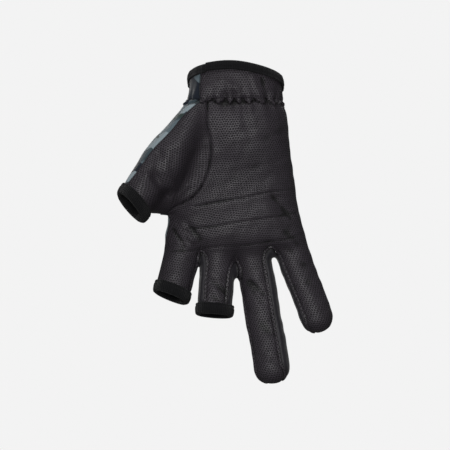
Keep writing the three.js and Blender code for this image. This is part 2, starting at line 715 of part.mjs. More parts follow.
// The two leaves of the thumb, from the elastic to the cut end.
const mixed = (a, b, t) => ({ p: between(a.p, b.p, t), n: unit(between(a.n, b.n, t)) });
function thumbLeaf(top, arc, innerAngle, outerAngle, chart) {
  const pairs = steps(leafColumns, (t, i) => {
    if (i === 0) return [outerStop, outerEnd];
    return i === leafColumns ? [innerStop, innerEnd] : thumbPair(mix(outerAngle, innerAngle, t));
  });
  const rows = patch(top, pairs.map((pair) => pair[0]), outerSeam, [...arc, ...innerSeam.slice(1)], chart);
  return [...rows, pairs.map((pair) => pair[1])];
}
const frontTop = steps(leafColumns, (t, i) => {
  if (i === 0) return corners.edge;
  return i === leafColumns ? corners.front : mixed(corners.edge, corners.front, t);
});
const thumbFront = thumbLeaf(frontTop, frontArc, thumbSeams.inner, thumbSeams.outer);
const backTop = backPanel.gather.slice(0, leafColumns + 1);
const thumbBack = thumbLeaf(backTop, backArc, thumbSeams.inner, thumbSeams.outer + 360, thumbChart);
piece("thumb_front", wall([thumbFront]), "leather");
piece("thumb_back", wall([thumbBack]), "camouflage");

// Fourchettes: strips between the fingers, down one finger's side, over the crotch and down the other's.
const stripColumns = 3;
function fourchette(k) {
  const { front, back } = crotches[k];
  const middle = webs[k].centre;
  const crest = steps(stripColumns, (t, i) => {
    if (i === 0) return front;
    if (i === stripColumns) return back;
    const y = mix(-webReach, webReach, t);
    return nearest([middle[0], middle[1] + y, middle[2] - webRadius - 0.3]);
  });
  const halves = [0, 1].map((half) => {
    const f = fingers[k + half];
    const [frontSeam, backSeam] = [frontSeams[k + half][1 - half], backSeams[k + half][1 - half]];
    const row = seamsOf(f);
    const angles = half ? [row.frontLeft, row.backLeft - 360] : [row.frontRight, row.backRight];
    const tip = f.whole && tipDirection(f, 1 - half);
    const lines = crest.map((start, i) => {
      if (i === 0) return frontSeam;
      if (i === stripColumns) return backSeam;
      const line = fingerLine(f, start, mix(...angles, i / stripColumns), tip);
      if (f.whole) line[line.length - 1] = frontSeam.at(-1);
      return line;
    });
    if (half) lines.reverse();
    return frontSeam.map((_, j) => lines.map((line) => line[j]));
  });
  return halves;
}
const fourchettes = webs.map((w, k) => fourchette(k));
webs.forEach((w, k) => piece("fourchette_" + w.name, wall(fourchettes[k]), "plain"));

// Bindings: each is led round its opening by the ends of the pieces there.
const lastRows = (grid) => grid.at(-1).map((point, i) => [point, grid.at(-2)[i], false]);
const firstRows = (grid) => grid[0].map((point, i) => [point, grid[1][i], true]);
const loop = (...strips) => strips.flatMap((strip) => strip.slice(1));
const turned = (strip) => [...strip].reverse().map(([edge, row, flag]) => [edge, row, !flag]);
const fingerLoop = (k) => {
  const right = lastRows(fourchettes[k][0]);
  const left = k ? lastRows(fourchettes[k - 1][1]) : [];
  return loop(lastRows(palmPanel.sides[k]), right, turned(lastRows(backPanel.sides[k])), left);
};
piece("wrist_binding", binding(loop(firstRows(palmPanel.cuff), turned(firstRows(backPanel.cuff))), wristBindingWidth), "knit");
piece("thumb_binding", binding(loop(lastRows(thumbFront), turned(lastRows(thumbBack))), bindingWidth), "knit");
piece("index_binding", binding(fingerLoop(0), bindingWidth), "knit");
piece("middle_binding", binding(fingerLoop(1), bindingWidth), "knit");

export default glove;
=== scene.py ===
"""A right-hand fishing glove in its worn shape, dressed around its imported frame.

Every panel lies on one hand form, an implicit surface f(p) = 0 in millimetres made of a palm, four fingers, a
thumb and the webs between them. A panel is a grid of points on that form between its seams, given its folds,
its turned edges and a wall. The tapes, the stitches and the gathers follow the panels' own edges.
"""
import math

import bpy
import numpy as np
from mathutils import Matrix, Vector


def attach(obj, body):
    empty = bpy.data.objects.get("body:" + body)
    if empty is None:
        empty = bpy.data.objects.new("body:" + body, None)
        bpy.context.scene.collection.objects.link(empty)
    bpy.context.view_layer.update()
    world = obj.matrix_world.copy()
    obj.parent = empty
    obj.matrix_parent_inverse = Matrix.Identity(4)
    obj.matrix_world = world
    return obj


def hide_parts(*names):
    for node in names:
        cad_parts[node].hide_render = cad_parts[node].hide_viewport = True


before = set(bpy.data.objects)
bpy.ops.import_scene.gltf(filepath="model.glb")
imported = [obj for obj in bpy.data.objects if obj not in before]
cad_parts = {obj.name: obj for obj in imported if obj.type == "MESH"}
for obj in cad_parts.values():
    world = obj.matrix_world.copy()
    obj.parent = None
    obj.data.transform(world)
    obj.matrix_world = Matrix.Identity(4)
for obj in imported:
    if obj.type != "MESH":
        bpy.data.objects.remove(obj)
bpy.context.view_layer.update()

METRES = 0.001

# Driving sizes of the glove, in millimetres. RIM_TURN is the angle where the cuff's rim stands highest.
WALL = 1.2
SEAM_GAP = 0.12
CUFF_HEIGHT = 15
RIM_HEIGHT = 9.8
RIM_DIP = 8
RIM_TURN = -9
PALM_LENGTH = 97
PALM_WIDTH = 88
PALM_DEPTH = 34
WRIST_WIDTH = 63
WRIST_DEPTH = 45
FINGER_WIDTH = 23
FINGER_DEPTH = 21
FINGERTIP = 11.5
THUMB_LENGTH = 88.7
THUMB_WIDTH = 27
THUMB_DEPTH = 27
THUMB_SLANT = 3.2
BINDING_WIDTH = 7.5
WRIST_BINDING_WIDTH = 6.5
BINDING_THICKNESS = 1
BINDING_GAP = 0.3

# How far outside the palm's middle a ray to its face starts
FACE_REACH = 35

# How much of the way to the form each step goes, how near is near enough, and how often a ray's last
# millimetre is halved
STEP_SHARE = 0.85
CLOSE_ENOUGH = 0.001
HALVINGS = 12

# The elastic: how deep and wide its gathers are, how many go round and where the first one sits, how its line
# drops at the back, and the waist that it draws in
GATHER_DEPTH = 1.1
GATHER_SPREAD = 5.5
GATHER_COUNT = 25
GATHER_PHASE = 3.8
GATHER_TILT = 0.5
GATHER_BEND = 8
WAIST_DEPTH = 1.05
WAIST_SPREAD = 1.65

# Waves that make the gathers uneven: each one's size in degrees, how many go round, and its phase
GATHER_WAVES = ((2.4, 3, 20), (1.5, 7, 0))


def table(text):
    """A table written as text: a heading of column names, then a row for each section, seam point or fold."""
    head, *rows = [line.split() for line in text.strip().splitlines()]
    number = lambda cell: float(cell) if cell.strip("-").replace(".", "").isdigit() else cell
    return [{key: number(cell) for key, cell in zip(head, row)} for row in rows]


# Palm sections. level counts from the elastic, 0, to the finger webs, 1, and -1 is the wrist opening.
# The sides are shares of the width and depth, which are the wrist's at wrist 1 and the palm's at wrist 0.
PALM_SECTIONS = table("""
    level  left    right   front   back   wrist
    -2.05  -0.478  0.487   -0.29   0.735  1
    -0.6   -0.466  0.487   -0.39   0.61   1
    0      -0.457  0.497   -0.405  0.535  1
    0.124  -0.428  0.468   -0.505  0.53   0.6
    0.31   -0.41   0.429   -0.566  0.539  0.2
    0.485  -0.437  0.43    -0.544  0.53   0
    0.65   -0.472  0.453   -0.5    0.5    0
    0.825  -0.49   0.478   -0.456  0.456  0
    1.08   -0.52   0.52    -0.397  0.397  0
""")
PALM_POWER = 2.5
PALM_END_LEVEL = 0.876
PALM_END_SHARE = 0.134

# Fingers. x and y of the root are shares of the palm's width and depth, lean and reach are the run sideways
# and forward for each millimetre down, bow is the bend to the back, and the tape's slant is in millimetres.
FINGER_TABLE = table("""
    name   length x      y   level lean   reach root_width end_width root_depth end_depth bow  slant
    index  44.2   -0.343 .03 0.876 -0.27  0.255 1.03       0.98      1.12       1.01      .02  1.2
    middle 52.2   -0.109 .03 0.897 -0.076 0.18  1.01       0.975     1.12       1.01      .02  0
    ring   96.3   0.110  .03 0.918 0.171  0.19  1.015      1.0       1.1        0.93      .042 0
    little 72     0.356  .06 0.856 0.376  0.163 0.965      0.91      1.05       0.88      .042 0
""")
WHOLE_FINGERS = ("ring", "little")
FINGER_POWER = 2.15
FINGER_RISE = 1

# The angles of the seams round each finger, 0 at its front and positive to the little finger's side.
SEAM_TABLE = table("""
    name    front_left  front_right  back_left  back_right  tip_left  tip_right
    index   -100        74           260        120         0         0
    middle  -44         47           236        124         0         0
    ring    -74         40           228        122         -104      82
    little  -54         112          236        112         -88       112
""")
CROTCH_ARC = 9
TIP_TURN = 58

THUMB_ROOT = {"x": -0.3, "level": -0.13}
THUMB_SLOPE = (-48.4, -25, -72.2)
THUMB_SECTIONS = table("""
    along  width  depth
    0      0.48   0.95
    0.3    0.74   1.15
    0.55   0.985  1.14
    0.8    0.92   1.0
    1      0.865  0.89
""")
THUMB_POWER = 2.1
THUMB_RISE = 0.66

WEB_TABLE = table("""
    left  right  level  front  back
    0     1      1.052  1.019  1.045
    1     2      1.142  1.08   1.09
    2     3      1.005  0.991  0.99
""")
WEB_RADIUS = 3.2
WEB_REACH = 4.5
WEB_SHIFT = 0.04
THUMB_WEB = {"x0": -0.57, "y0": -0.27, "level0": 0.672, "x1": -0.4, "y1": 0.03, "level1": 0.33, "radius": 8.2}

# The main valleys pressed into the front; x and level are shares as above.
FOLDS = table("""
    x0      level0  x1      level1  width  depth
    -0.547  0.375   -0.575  0.52    4.2    2.0
    -0.575  0.52    -0.52   0.62    4.2    2.2
    -0.45   0.37    -0.49   0.5     4.0    1.4
    -0.1    0.42    0.1     0.55    18     1.6
    -0.45   0.77    -0.34   0.86    3.6    1.2
    0.31    0.66    0.37    0.74    4.0    1.1
    0.1     0.2     0.02    -0.2    3.5    0.9
""")

FINGER_BLEND = 2.5
WEB_BLEND = 4
PALM_BLEND = 7
THUMB_BLEND = 11


def mix(a, b, t):
    return a + (b - a) * t


def bell(far, width):
    return np.exp(-((far / width) ** 2))


def unit(v):
    return v / np.maximum(np.linalg.norm(v, axis=-1, keepdims=True), 1e-12)


def smooth_column(xs, ys):
    """A cubic curve through a table's column, each row's slope from its neighbours, level beyond the ends."""
    xs, ys = np.array(xs, float), np.array(ys, float)
    before = np.maximum(np.arange(len(xs)) - 1, 0)
    after = np.minimum(np.arange(len(xs)) + 1, len(xs) - 1)
    slope = (ys[after] - ys[before]) / (xs[after] - xs[before])

    def at(value):
        u = np.clip(value, xs[0], xs[-1])
        i = np.searchsorted(xs[1:-1], u)
        h = xs[i + 1] - xs[i]
        t = (u - xs[i]) / h
        start = (1 + 2 * t) * (1 - t) ** 2 * ys[i] + t * (1 - t) ** 2 * h * slope[i]
        end = t * t * (3 - 2 * t) * ys[i + 1] + t * t * (t - 1) * h * slope[i + 1]
        return start + end

    return at


def rounded(offsets, sizes, power):
    """The value of a rounded box: below 0 inside, about the distance in millimetres near its surface."""
    q = [np.maximum(np.abs(offset) / size, 1e-9) for offset, size in zip(offsets, sizes)]
    g = sum(v**power for v in q) ** (1 / power)
    slope = np.sqrt(sum(((v / g) ** (power - 1) / size) ** 2 for v, size in zip(q, sizes)))
    return (g - 1) / slope


def joined(a, b, radius):
    """The lesser of two values, eased within a radius where they are nearly alike."""
    h = np.maximum(radius - np.abs(a - b), 0) / radius
    return np.minimum(a, b) - h * h * radius / 4


def height(level):
    level = np.asarray(level, float)
    return -CUFF_HEIGHT - level * np.where(level < 0, CUFF_HEIGHT, PALM_LENGTH)


def place(x, y, level):
    """A point from its shares of the palm's width and depth, and its level."""
    return np.array([x * PALM_WIDTH, y * PALM_DEPTH, float(height(level))])


def palm_side(key, palm_size, wrist_size):
    drops = [-height(row["level"]) for row in PALM_SECTIONS]
    sides = [row[key] * mix(palm_size, wrist_size, row["wrist"]) for row in PALM_SECTIONS]
    return smooth_column(drops, sides)


PALM_SIDES = [
    *[palm_side(key, PALM_WIDTH, WRIST_WIDTH) for key in ("left", "right")],
    *[palm_side(key, PALM_DEPTH, WRIST_DEPTH) for key in ("front", "back")],
]


def section(z):
    """The palm's section at a height: its middle in x and y, its half width and its half depth."""
    left, right, front, back = [side(-z) for side in PALM_SIDES]
    return (left + right) / 2, (front + back) / 2, (right - left) / 2, (back - front) / 2


def section_angle(p):
    """A point's angle round the section at its own height, 0 at the front."""
    x, y, half_width, half_depth = section(p[..., 2])
    return np.degrees(np.arctan2((p[..., 0] - x) / half_width, (y - p[..., 1]) / half_depth))


def near_turn(angle, near):
    """The same direction as an angle, in the whole turn that lies nearest to another angle."""
    return angle + 360 * np.round((near - angle) / 360)


def palm(p):
    x, y, half_width, half_depth = section(p[..., 2])
    below = np.maximum(height(PALM_END_LEVEL) - p[..., 2], 0)
    sizes = (half_width, half_depth, PALM_END_SHARE * PALM_LENGTH)
    return rounded((p[..., 0] - x, p[..., 1] - y, below), sizes, PALM_POWER)


class Limb:
    """A finger's or the thumb's own frame: along to its end, side to +X, back away from the palm."""

    def __init__(self, root, slope, length):
        self.root = np.array(root, float)
        self.along = unit(np.array(slope, float))
        self.back = unit(np.array([0, 1, 0]) - self.along * self.along[1])
        side = np.cross(self.back, self.along)
        self.side = side * np.sign(side[0])
        self.length = length

    def local(self, p):
        q = p - self.root
        return q @ self.along, q @ self.side, q @ self.back

    def around(self, angle):
        turn = np.radians(np.asarray(angle, float))[..., None]
        return self.side * np.sin(turn) - self.back * np.cos(turn)

    def bow(self, s):
        return 0 * s

    def centre(self, s):
        s = np.asarray(s, float)[..., None]
        return self.root + self.along * s + self.back * self.bow(s)

    def read(self, p):
        """A point's run down the limb, and its angle and distance from the middle line."""
        s, side, back = self.local(p)
        back = back - self.bow(s)
        return s, np.degrees(np.arctan2(side, -back)), np.hypot(side, back)


class Finger(Limb):
    """A finger: a rounded tube with its own widths, bent a little to the back."""

    def __init__(self, row):
        root = place(row["x"], row["y"], row["level"])
        super().__init__(root, (row["lean"], -row["reach"], -1), row["length"])
        self.row = row
        self.seams = next(seam for seam in SEAM_TABLE if seam["name"] == row["name"])
        self.whole = row["name"] in WHOLE_FINGERS

    def bow(self, s):
        t = np.clip(s / self.length, 0, 1)
        return self.row["bow"] * self.length * 4 * t * (1 - t)

    def half_sizes(self, s):
        t = np.clip(s / self.length, 0, 1)
        half_width = FINGER_WIDTH / 2 * mix(self.row["root_width"], self.row["end_width"], t)
        return half_width, FINGER_DEPTH / 2 * mix(self.row["root_depth"], self.row["end_depth"], t)

    def field(self, p):
        s, side, back = self.local(p)
        half_width, half_depth = self.half_sizes(s)
        beyond = np.maximum(s - (self.length - FINGERTIP), 0) * self.whole
        offsets = (side, back - self.bow(s), beyond, np.maximum(-s, 0))
        return rounded(offsets, (half_width, half_depth, FINGERTIP, FINGER_RISE * FINGER_WIDTH), FINGER_POWER)

    def radius(self, s, angle):
        half_width, half_depth = self.half_sizes(s)
        share = np.abs(np.sin(np.radians(angle))) / half_width
        rest = np.abs(np.cos(np.radians(angle))) / half_depth
        return (share**FINGER_POWER + rest**FINGER_POWER) ** (-1 / FINGER_POWER)

    def on(self, s, angle, radius=None):
        """The surface point near a run, an angle and a radius, or the bare finger's radius."""
        radius = self.radius(s, angle) if radius is None else radius
        return nearest(self.centre(s) + self.around(angle) * radius[..., None])

    def end(self, angle):
        """How far down the cut end lies at an angle, as the tape slants."""
        return self.length + self.row["slant"] * np.sin(np.radians(angle))

    def tip(self, u):
        """The seam over a whole fingertip, as directions from the tip's middle, from left to right."""
        turn = np.radians(mix(TIP_TURN, 180 - TIP_TURN, np.asarray(u, float)))[..., None]
        sides = [self.around(self.seams[key]) for key in ("tip_left", "tip_right")]
        return np.where(np.cos(turn) > 0, *sides) * np.abs(np.cos(turn)) + self.along * np.sin(turn)


FINGERS = [Finger(row) for row in FINGER_TABLE]
THUMB = Limb((THUMB_ROOT["x"] * WRIST_WIDTH, 0, height(THUMB_ROOT["level"])), THUMB_SLOPE, THUMB_LENGTH)
thumb_sides = [
    smooth_column([row["along"] for row in THUMB_SECTIONS], [row[key] * size / 2 for row in THUMB_SECTIONS])
    for key, size in (("width", THUMB_WIDTH), ("depth", THUMB_DEPTH))
]


def thumb(p):
    s, side, back = THUMB.local(p)
    half_width, half_depth = [column(s / THUMB_LENGTH) for column in thumb_sides]
    sizes = (half_width, half_depth, THUMB_RISE * THUMB_WIDTH)
    return rounded((side, back, np.maximum(-s, 0)), sizes, THUMB_POWER)


def midway(row, level):
    """The x halfway between two neighbour fingers' middle lines at a level."""
    pair = [FINGERS[int(row[key])] for key in ("left", "right")]
    return sum(f.root[0] + (f.root[2] - height(level)) * f.row["lean"] for f in pair) / 2


WEBS = [
    np.array([midway(row, row["level"]), WEB_SHIFT * PALM_DEPTH, height(row["level"])])
    for row in WEB_TABLE
]


def bar(p, a, b, radius):
    """The distance to a round-ended bar from a to b."""
    line = b - a
    t = np.clip((p - a) @ line / (line @ line), 0, 1)[..., None]
    return np.linalg.norm(p - a - line * t, axis=-1) - radius


THUMB_WEB_ENDS = [place(THUMB_WEB["x" + end], THUMB_WEB["y" + end], THUMB_WEB["level" + end]) for end in "01"]


def gather_line(y):
    """The elastic's height: level at the front and lower at the back, as the cuff leans that way."""
    behind = np.maximum(y, 0)
    return height(0) - GATHER_TILT * behind * behind / (behind + GATHER_BEND)


def gather_turn(p):
    """How many gathers round from the first one a point is: its angle round the wrist, over the step."""
    angle = section_angle(p)
    uneven = sum(size * np.sin(np.radians(count * angle + phase)) for size, count, phase in GATHER_WAVES)
    return (angle + uneven - GATHER_PHASE) * GATHER_COUNT / 360


def pressed(p):
    """How far the fabric is pressed in: each fold by a bell curve of its distance, and the elastic."""
    total = np.zeros(p.shape[:-1])
    for fold in FOLDS:
        a, b = [place(fold["x" + end], 0, fold["level" + end])[[0, 2]] for end in "01"]
        total += (p[..., 1] < 0) * fold["depth"] * bell(bar(p[..., [0, 2]], a, b, 0), fold["width"])
    z = p[..., 2] - gather_line(p[..., 1])
    pucker = 0.5 + 0.5 * np.cos(2 * np.pi * gather_turn(p))
    return total + GATHER_DEPTH * bell(z, GATHER_SPREAD) * (1 - pucker) + WAIST_DEPTH * bell(z, WAIST_SPREAD)


def form(p):
    """The hand form: below 0 inside, above 0 outside."""
    hand = FINGERS[0].field(p)
    for f in FINGERS[1:]:
        hand = joined(hand, f.field(p), FINGER_BLEND)
    for centre in WEBS:
        reach = np.array([0, WEB_REACH, 0])
        hand = joined(hand, bar(p, centre - reach, centre + reach, WEB_RADIUS), WEB_BLEND)
    side = joined(thumb(p), bar(p, *THUMB_WEB_ENDS, THUMB_WEB["radius"]), THUMB_BLEND)
    return joined(joined(palm(p), hand, PALM_BLEND), side, THUMB_BLEND) + pressed(p)


def slope(p, f=None):
    """The form's outward direction, by small steps along each axis."""
    step = 0.04
    f = form(p) if f is None else f
    return unit(np.stack([form(p + axis * step) - f for axis in np.eye(3)], -1))


def nearest(guess, rounds=24):
    """The surface point that steps down the form's slope lead to."""
    p = guess.reshape(-1, 3).copy()
    live = np.arange(len(p))
    for _ in range(rounds):
        f = form(p[live])
        live, f = live[np.abs(f) > CLOSE_ENOUGH], f[np.abs(f) > CLOSE_ENOUGH]
        if not len(live):
            break
        p[live] -= STEP_SHARE * f[:, None] * slope(p[live], f)
    return p.reshape(guess.shape)


def crossing(origin, direction, entering=False, reach=75):
    """Where each ray first leaves the form, or first enters it: steps of 1 mm, then halving."""
    sign = -1 if entering else 1
    origin, direction = np.broadcast_arrays(origin, unit(np.asarray(direction, float)))
    o, d = origin.reshape(-1, 3), direction.reshape(-1, 3)
    low = np.zeros(len(o))
    live = np.arange(len(o))
    for _ in range(reach):
        live = live[sign * form(o[live] + d[live] * (low[live] + 1)[:, None]) < 0]
        if not len(live):
            break
        low[live] += 1
    high = low + 1
    for _ in range(HALVINGS):
        middle = (low + high) / 2
        before = sign * form(o + d * middle[:, None]) < 0
        low, high = np.where(before, middle, low), np.where(before, high, middle)
    return (o + d * low[:, None]).reshape(origin.shape)


def on_face(x, level, side=-1):
    """The outermost point of the palm's face, side -1, or of the back, side 1."""
    z = height(level)
    start = np.array([x, float(section(z)[1]) + side * FACE_REACH, float(z)])
    return crossing(start, (0, -side, 0), entering=True)


def on_wrist(z, angle):
    """The point at an angle round the wrist's section at a height."""
    z, angle = np.broadcast_arrays(np.asarray(z, float), np.radians(np.asarray(angle, float)))
    x, y, _, _ = section(z)
    return crossing(np.stack([x, y, z], -1), np.stack([np.sin(angle), -np.cos(angle), 0 * angle], -1))


def on_elastic(angle):
    """The point of the gathered line at an angle round the wrist."""
    point = on_wrist(height(0), angle)
    for _ in range(6):
        point = on_wrist(gather_line(point[..., 1]), angle)
    return point


def on_thumb(s, angle):
    return crossing(THUMB.centre(s), THUMB.around(angle))


def lengths(line):
    """How far along a line of points each of them is."""
    steps = np.linalg.norm(np.diff(line, axis=0), axis=-1)
    return np.concatenate([np.zeros((1,) + steps.shape[1:]), np.cumsum(steps, axis=0)])


def resampled(line, places):
    run = lengths(line)
    return np.stack([np.interp(places, run, line[:, k]) for k in range(line.shape[1])], -1)


def rail(points, places):
    """A smooth line through the points, settled on the form, with a point at each share of its length."""
    points = np.array(points, float)
    knots = np.concatenate([[0], np.cumsum(np.sqrt(np.linalg.norm(np.diff(points, axis=0), axis=1)))])
    dense = np.linspace(0, knots[-1], 40 * len(points))
    line = points
    if len(points) > 2:
        line = np.stack([smooth_column(knots, points[:, k])(dense) for k in range(3)], -1)
    line = resampled(line, places * lengths(line)[-1])
    line[1:-1] = nearest(line[1:-1])
    line[0], line[-1] = points[0], points[-1]
    return line


# How finely the panels are divided
FINGER_COLUMNS = 40
PALM_ROWS = 140
PALM_CROWDING = 1.3
CUFF_ROWS = 44
CUFF_CROWDING = 1.7
CUFF_EDGE_COLUMNS = 10
ARC_SHARE = 0.79
ARC_ROWS = 18
CUT_ROWS = 34
WHOLE_ROWS = 84
TAPE_ROWS = 8
CAP_ROWS = 22
CAP_END = 0.95
THUMB_COLUMNS = 56
STRIP_COLUMNS = 18

# How far the crotch's own radius reaches into a finger's width, and the angle of the back's middle
CORNER_SHARE = 0.35
BACK_MIDDLE = 190

# Rounds of evening out for each kind of grid, and for the palm and back the steps in a round too
PALM_RELAXING = {"front": (5, 70), "back": (8, 1)}
STRIP_RELAXING = 16
LIMB_RELAXING = 6
RELAXING_SHARE = 0.7


def crowded_ends(count, share=0.55):
    """Numbers from 0 to 1 that lie closer together at both ends."""
    t = np.linspace(0, 1, count + 1)
    return mix(t, (1 - np.cos(np.pi * t)) / 2, share)


def finger_lines(f, start, angles, tips=None, cap_end=1):
    """Lines down a finger from its crotch row, as rows of points. Each turns to its own angle within the
    crotch arc and keeps it to the tape or the fingertip. A whole finger's lines bend over the tip."""
    s0, from_angle, from_radius = f.read(start)
    from_angle = near_turn(from_angle, angles)
    stop = f.length - FINGERTIP if f.whole else f.end(angles) - BINDING_WIDTH
    arc = CROTCH_ARC * np.linspace(0, 1, ARC_ROWS + 1)[1:, None] ** 1.5
    rest = np.linspace(0, 1, (WHOLE_ROWS if f.whole else CUT_ROWS) + 1)[1:, None]
    s = np.concatenate([s0 + arc, mix(s0 + CROTCH_ARC, stop, rest)])
    turned = np.sqrt(1 - (1 - np.clip((s - s0) / CROTCH_ARC, 0, 1)) ** 2)
    around = mix(from_angle, angles, turned)
    rows = f.on(s, around, mix(from_radius, f.radius(s, around), turned))
    if f.whole:
        t = cap_end * np.linspace(0, 1, CAP_ROWS + 1)[1:, None, None]
        last = crossing(f.centre(stop), mix(f.around(angles), unit(tips), t))
    else:
        t = np.linspace(0, 1, TAPE_ROWS + 1)[1:, None]
        last = f.on(mix(stop, f.end(angles), t), np.broadcast_to(angles, (TAPE_ROWS, len(angles))))
    return np.concatenate([start[None], rows, last])


CROTCHES = [
    {side: on_face(midway(row, row[side]), row[side], sign) for side, sign in (("front", -1), ("back", 1))}
    for row in WEB_TABLE
]


def edge_start(f, share, seam):
    """Where a seam along the hand's edge begins, a share of the way down an outer finger."""
    return f.on(np.array(share * f.length), np.array(f.seams[seam]))


radial_start = edge_start(FINGERS[0], 0.35, "front_left")
ulnar_start = edge_start(FINGERS[3], 0.2, "front_right")


def finger_side(side, k):
    """One finger's part of the palm panel or the back panel."""
    f = FINGERS[k]
    stops = [radial_start, *[crotch[side] for crotch in CROTCHES], ulnar_start]
    u = crowded_ends(FINGER_COLUMNS)
    ends = [f.seams[side + "_left"], f.seams[side + "_right"]]
    (run0, angle0, radius0), (run1, angle1, radius1) = [f.read(stops[k + end]) for end in (0, 1)]
    angle0, angle1 = near_turn(angle0, ends[0]), near_turn(angle1, ends[1])
    run, angle = mix(run0, run1, u), mix(angle0, angle1, u)
    own = f.radius(run, angle)
    near0, near1 = [np.clip(1 - far / CORNER_SHARE, 0, 1) ** 2 for far in (u, 1 - u)]
    start = f.on(run, angle, own + near0 * (radius0 - own[0]) + near1 * (radius1 - own[-1]))
    start[0], start[-1] = stops[k], stops[k + 1]
    return relaxed(finger_lines(f, start, mix(*ends, u), f.tip(u) if f.whole else None), LIMB_RELAXING)


# The seams of the thumb, the wrist and the two edges of the hand
CUFF_ANGLES = {"edge": -53, "front": -45, "back": -112, "ulnar": 114}
HAND_EDGE_ANGLE = 112
THUMB_SEAMS = {"outer": -58, "inner": 128}
ARC_POINTS = table("""
    x       level
    -0.2    0.156
    -0.178  0.295
    -0.183  0.402
    -0.208  0.494
    -0.251  0.578
    -0.319  0.648
    -0.403  0.69
""")
BACK_ARC_POINTS = table("""
    x       y      level
    -0.375  0.35   0.2
    -0.4    0.3    0.36
    -0.46   0.18   0.5
    -0.525  0.05   0.62
    -0.535  -0.08  0.7
""")
OUTER_POINTS = table("""
    x       level
    -0.353  0.086
    -0.489  0.225
    -0.602  0.333
    -0.717  0.478
""")
JUNCTION = {"x": -0.55, "y": -0.22, "level": 0.77}


def by_shares(row):
    return nearest(place(row["x"], row["y"], row["level"]))


def face_points(rows):
    return [on_face(row["x"] * PALM_WIDTH, row["level"]) for row in rows]


def rim(angle):
    share = np.cos(np.radians(angle - RIM_TURN))
    return np.where(share > 0, RIM_HEIGHT, RIM_DIP) * share - 0.5


def edge_point(level):
    z = height(level)
    x, y, half_width, half_depth = section(z)
    turn = math.radians(HAND_EDGE_ANGLE)
    start = np.array([float(x + half_width - half_depth), float(y), float(z)])
    return crossing(start, (math.sin(turn), -math.cos(turn), 0))


def thumb_end(angle):
    return THUMB_LENGTH + THUMB_SLANT * np.sin(np.radians(angle))


corner_edge, corner_front, corner_back = [on_elastic(CUFF_ANGLES[key]) for key in ("edge", "front", "back")]
junction = by_shares(JUNCTION)
arc_rows = round(ARC_SHARE * PALM_ROWS)
palm_places = np.linspace(0, 1, PALM_ROWS + 1) ** PALM_CROWDING
arc_places = palm_places[: arc_rows + 1] / palm_places[arc_rows]
rest_places = (palm_places[arc_rows:] - palm_places[arc_rows]) / (1 - palm_places[arc_rows])
front_arc = rail([corner_front, *face_points(ARC_POINTS), junction], arc_places)
back_arc = rail([corner_back, *[by_shares(row) for row in BACK_ARC_POINTS], junction], arc_places)
radial_seam = rail([junction, radial_start], rest_places)
edge_points = [edge_point(level) for level in (0.25, 0.5, 0.75)]
ulnar_seam = rail([on_elastic(CUFF_ANGLES["ulnar"]), *edge_points, ulnar_start], palm_places)
outer_stop, inner_stop = [
    on_thumb(thumb_end(THUMB_SEAMS[key]) - BINDING_WIDTH, THUMB_SEAMS[key]) for key in ("outer", "inner")
]
outer_seam = rail([corner_edge, *face_points(OUTER_POINTS), outer_stop], palm_places)
inner_seam = rail([junction, inner_stop], rest_places)


def coons(borders, u):
    """Mixes the numbers of four border lines across, u, and down, as the rows are crowded. The lines are the
    top, the bottom, the left and the right one."""
    top, bottom, left, right = borders
    u, v = u[None, :, None], palm_places[:, None, None]
    corners = mix(mix(top[0], top[-1], u), mix(bottom[0], bottom[-1], u), v)
    return mix(left[:, None], right[:, None], u) + mix(top[None], bottom[None], v) - corners


def bordered(grid, borders):
    grid[0], grid[-1], grid[:, 0], grid[:, -1] = borders
    return grid


def hand_patch(borders, u):
    """A patch round the back: each point is read as a height and an angle round the section, and cast out."""

    def read(p):
        return np.stack([p[:, 2], near_turn(section_angle(p), BACK_MIDDLE)], -1)

    z, angle = np.moveaxis(coons([read(line) for line in borders], u), -1, 0)
    x, y, half_width, half_depth = section(z)
    turn = np.radians(angle)
    ways = np.stack([half_width * np.sin(turn), -half_depth * np.cos(turn), 0 * z], -1)
    return bordered(crossing(np.stack([x, y, z], -1), ways), borders)


def thumb_patch(borders, u):
    """A patch round the thumb: each point is read as a run, an angle and a radius, and settled."""

    def read(p):
        s, angle, radius = THUMB.read(p)
        return np.stack([s, angle + 360 * (angle < 0), radius], -1)

    s, angle, radius = np.moveaxis(coons([read(line) for line in borders], u), -1, 0)
    return bordered(nearest(THUMB.centre(s) + THUMB.around(angle) * radius[..., None]), borders)


def plain_patch(borders, u):
    """A patch mixed from its border lines' places and settled on the form."""
    return bordered(nearest(coons(borders, u)), borders)


def relaxed(grid, rounds, steps=1):
    """Evens a grid out: each inner point steps towards its four neighbours' middle, then all settle."""
    for _ in range(rounds):
        for _ in range(steps):
            middle = (grid[:-2, 1:-1] + grid[2:, 1:-1] + grid[1:-1, :-2] + grid[1:-1, 2:]) / 4
            grid[1:-1, 1:-1] = mix(grid[1:-1, 1:-1], middle, RELAXING_SHARE)
        grid[1:-1, 1:-1] = nearest(grid[1:-1, 1:-1])
    return grid


def from_middle(rows, column, start):
    """Signed lengths along each row, counted from a column that has the start's number."""
    run = lengths(np.moveaxis(rows, 1, 0)).T
    return run - run[:, [column]] + start


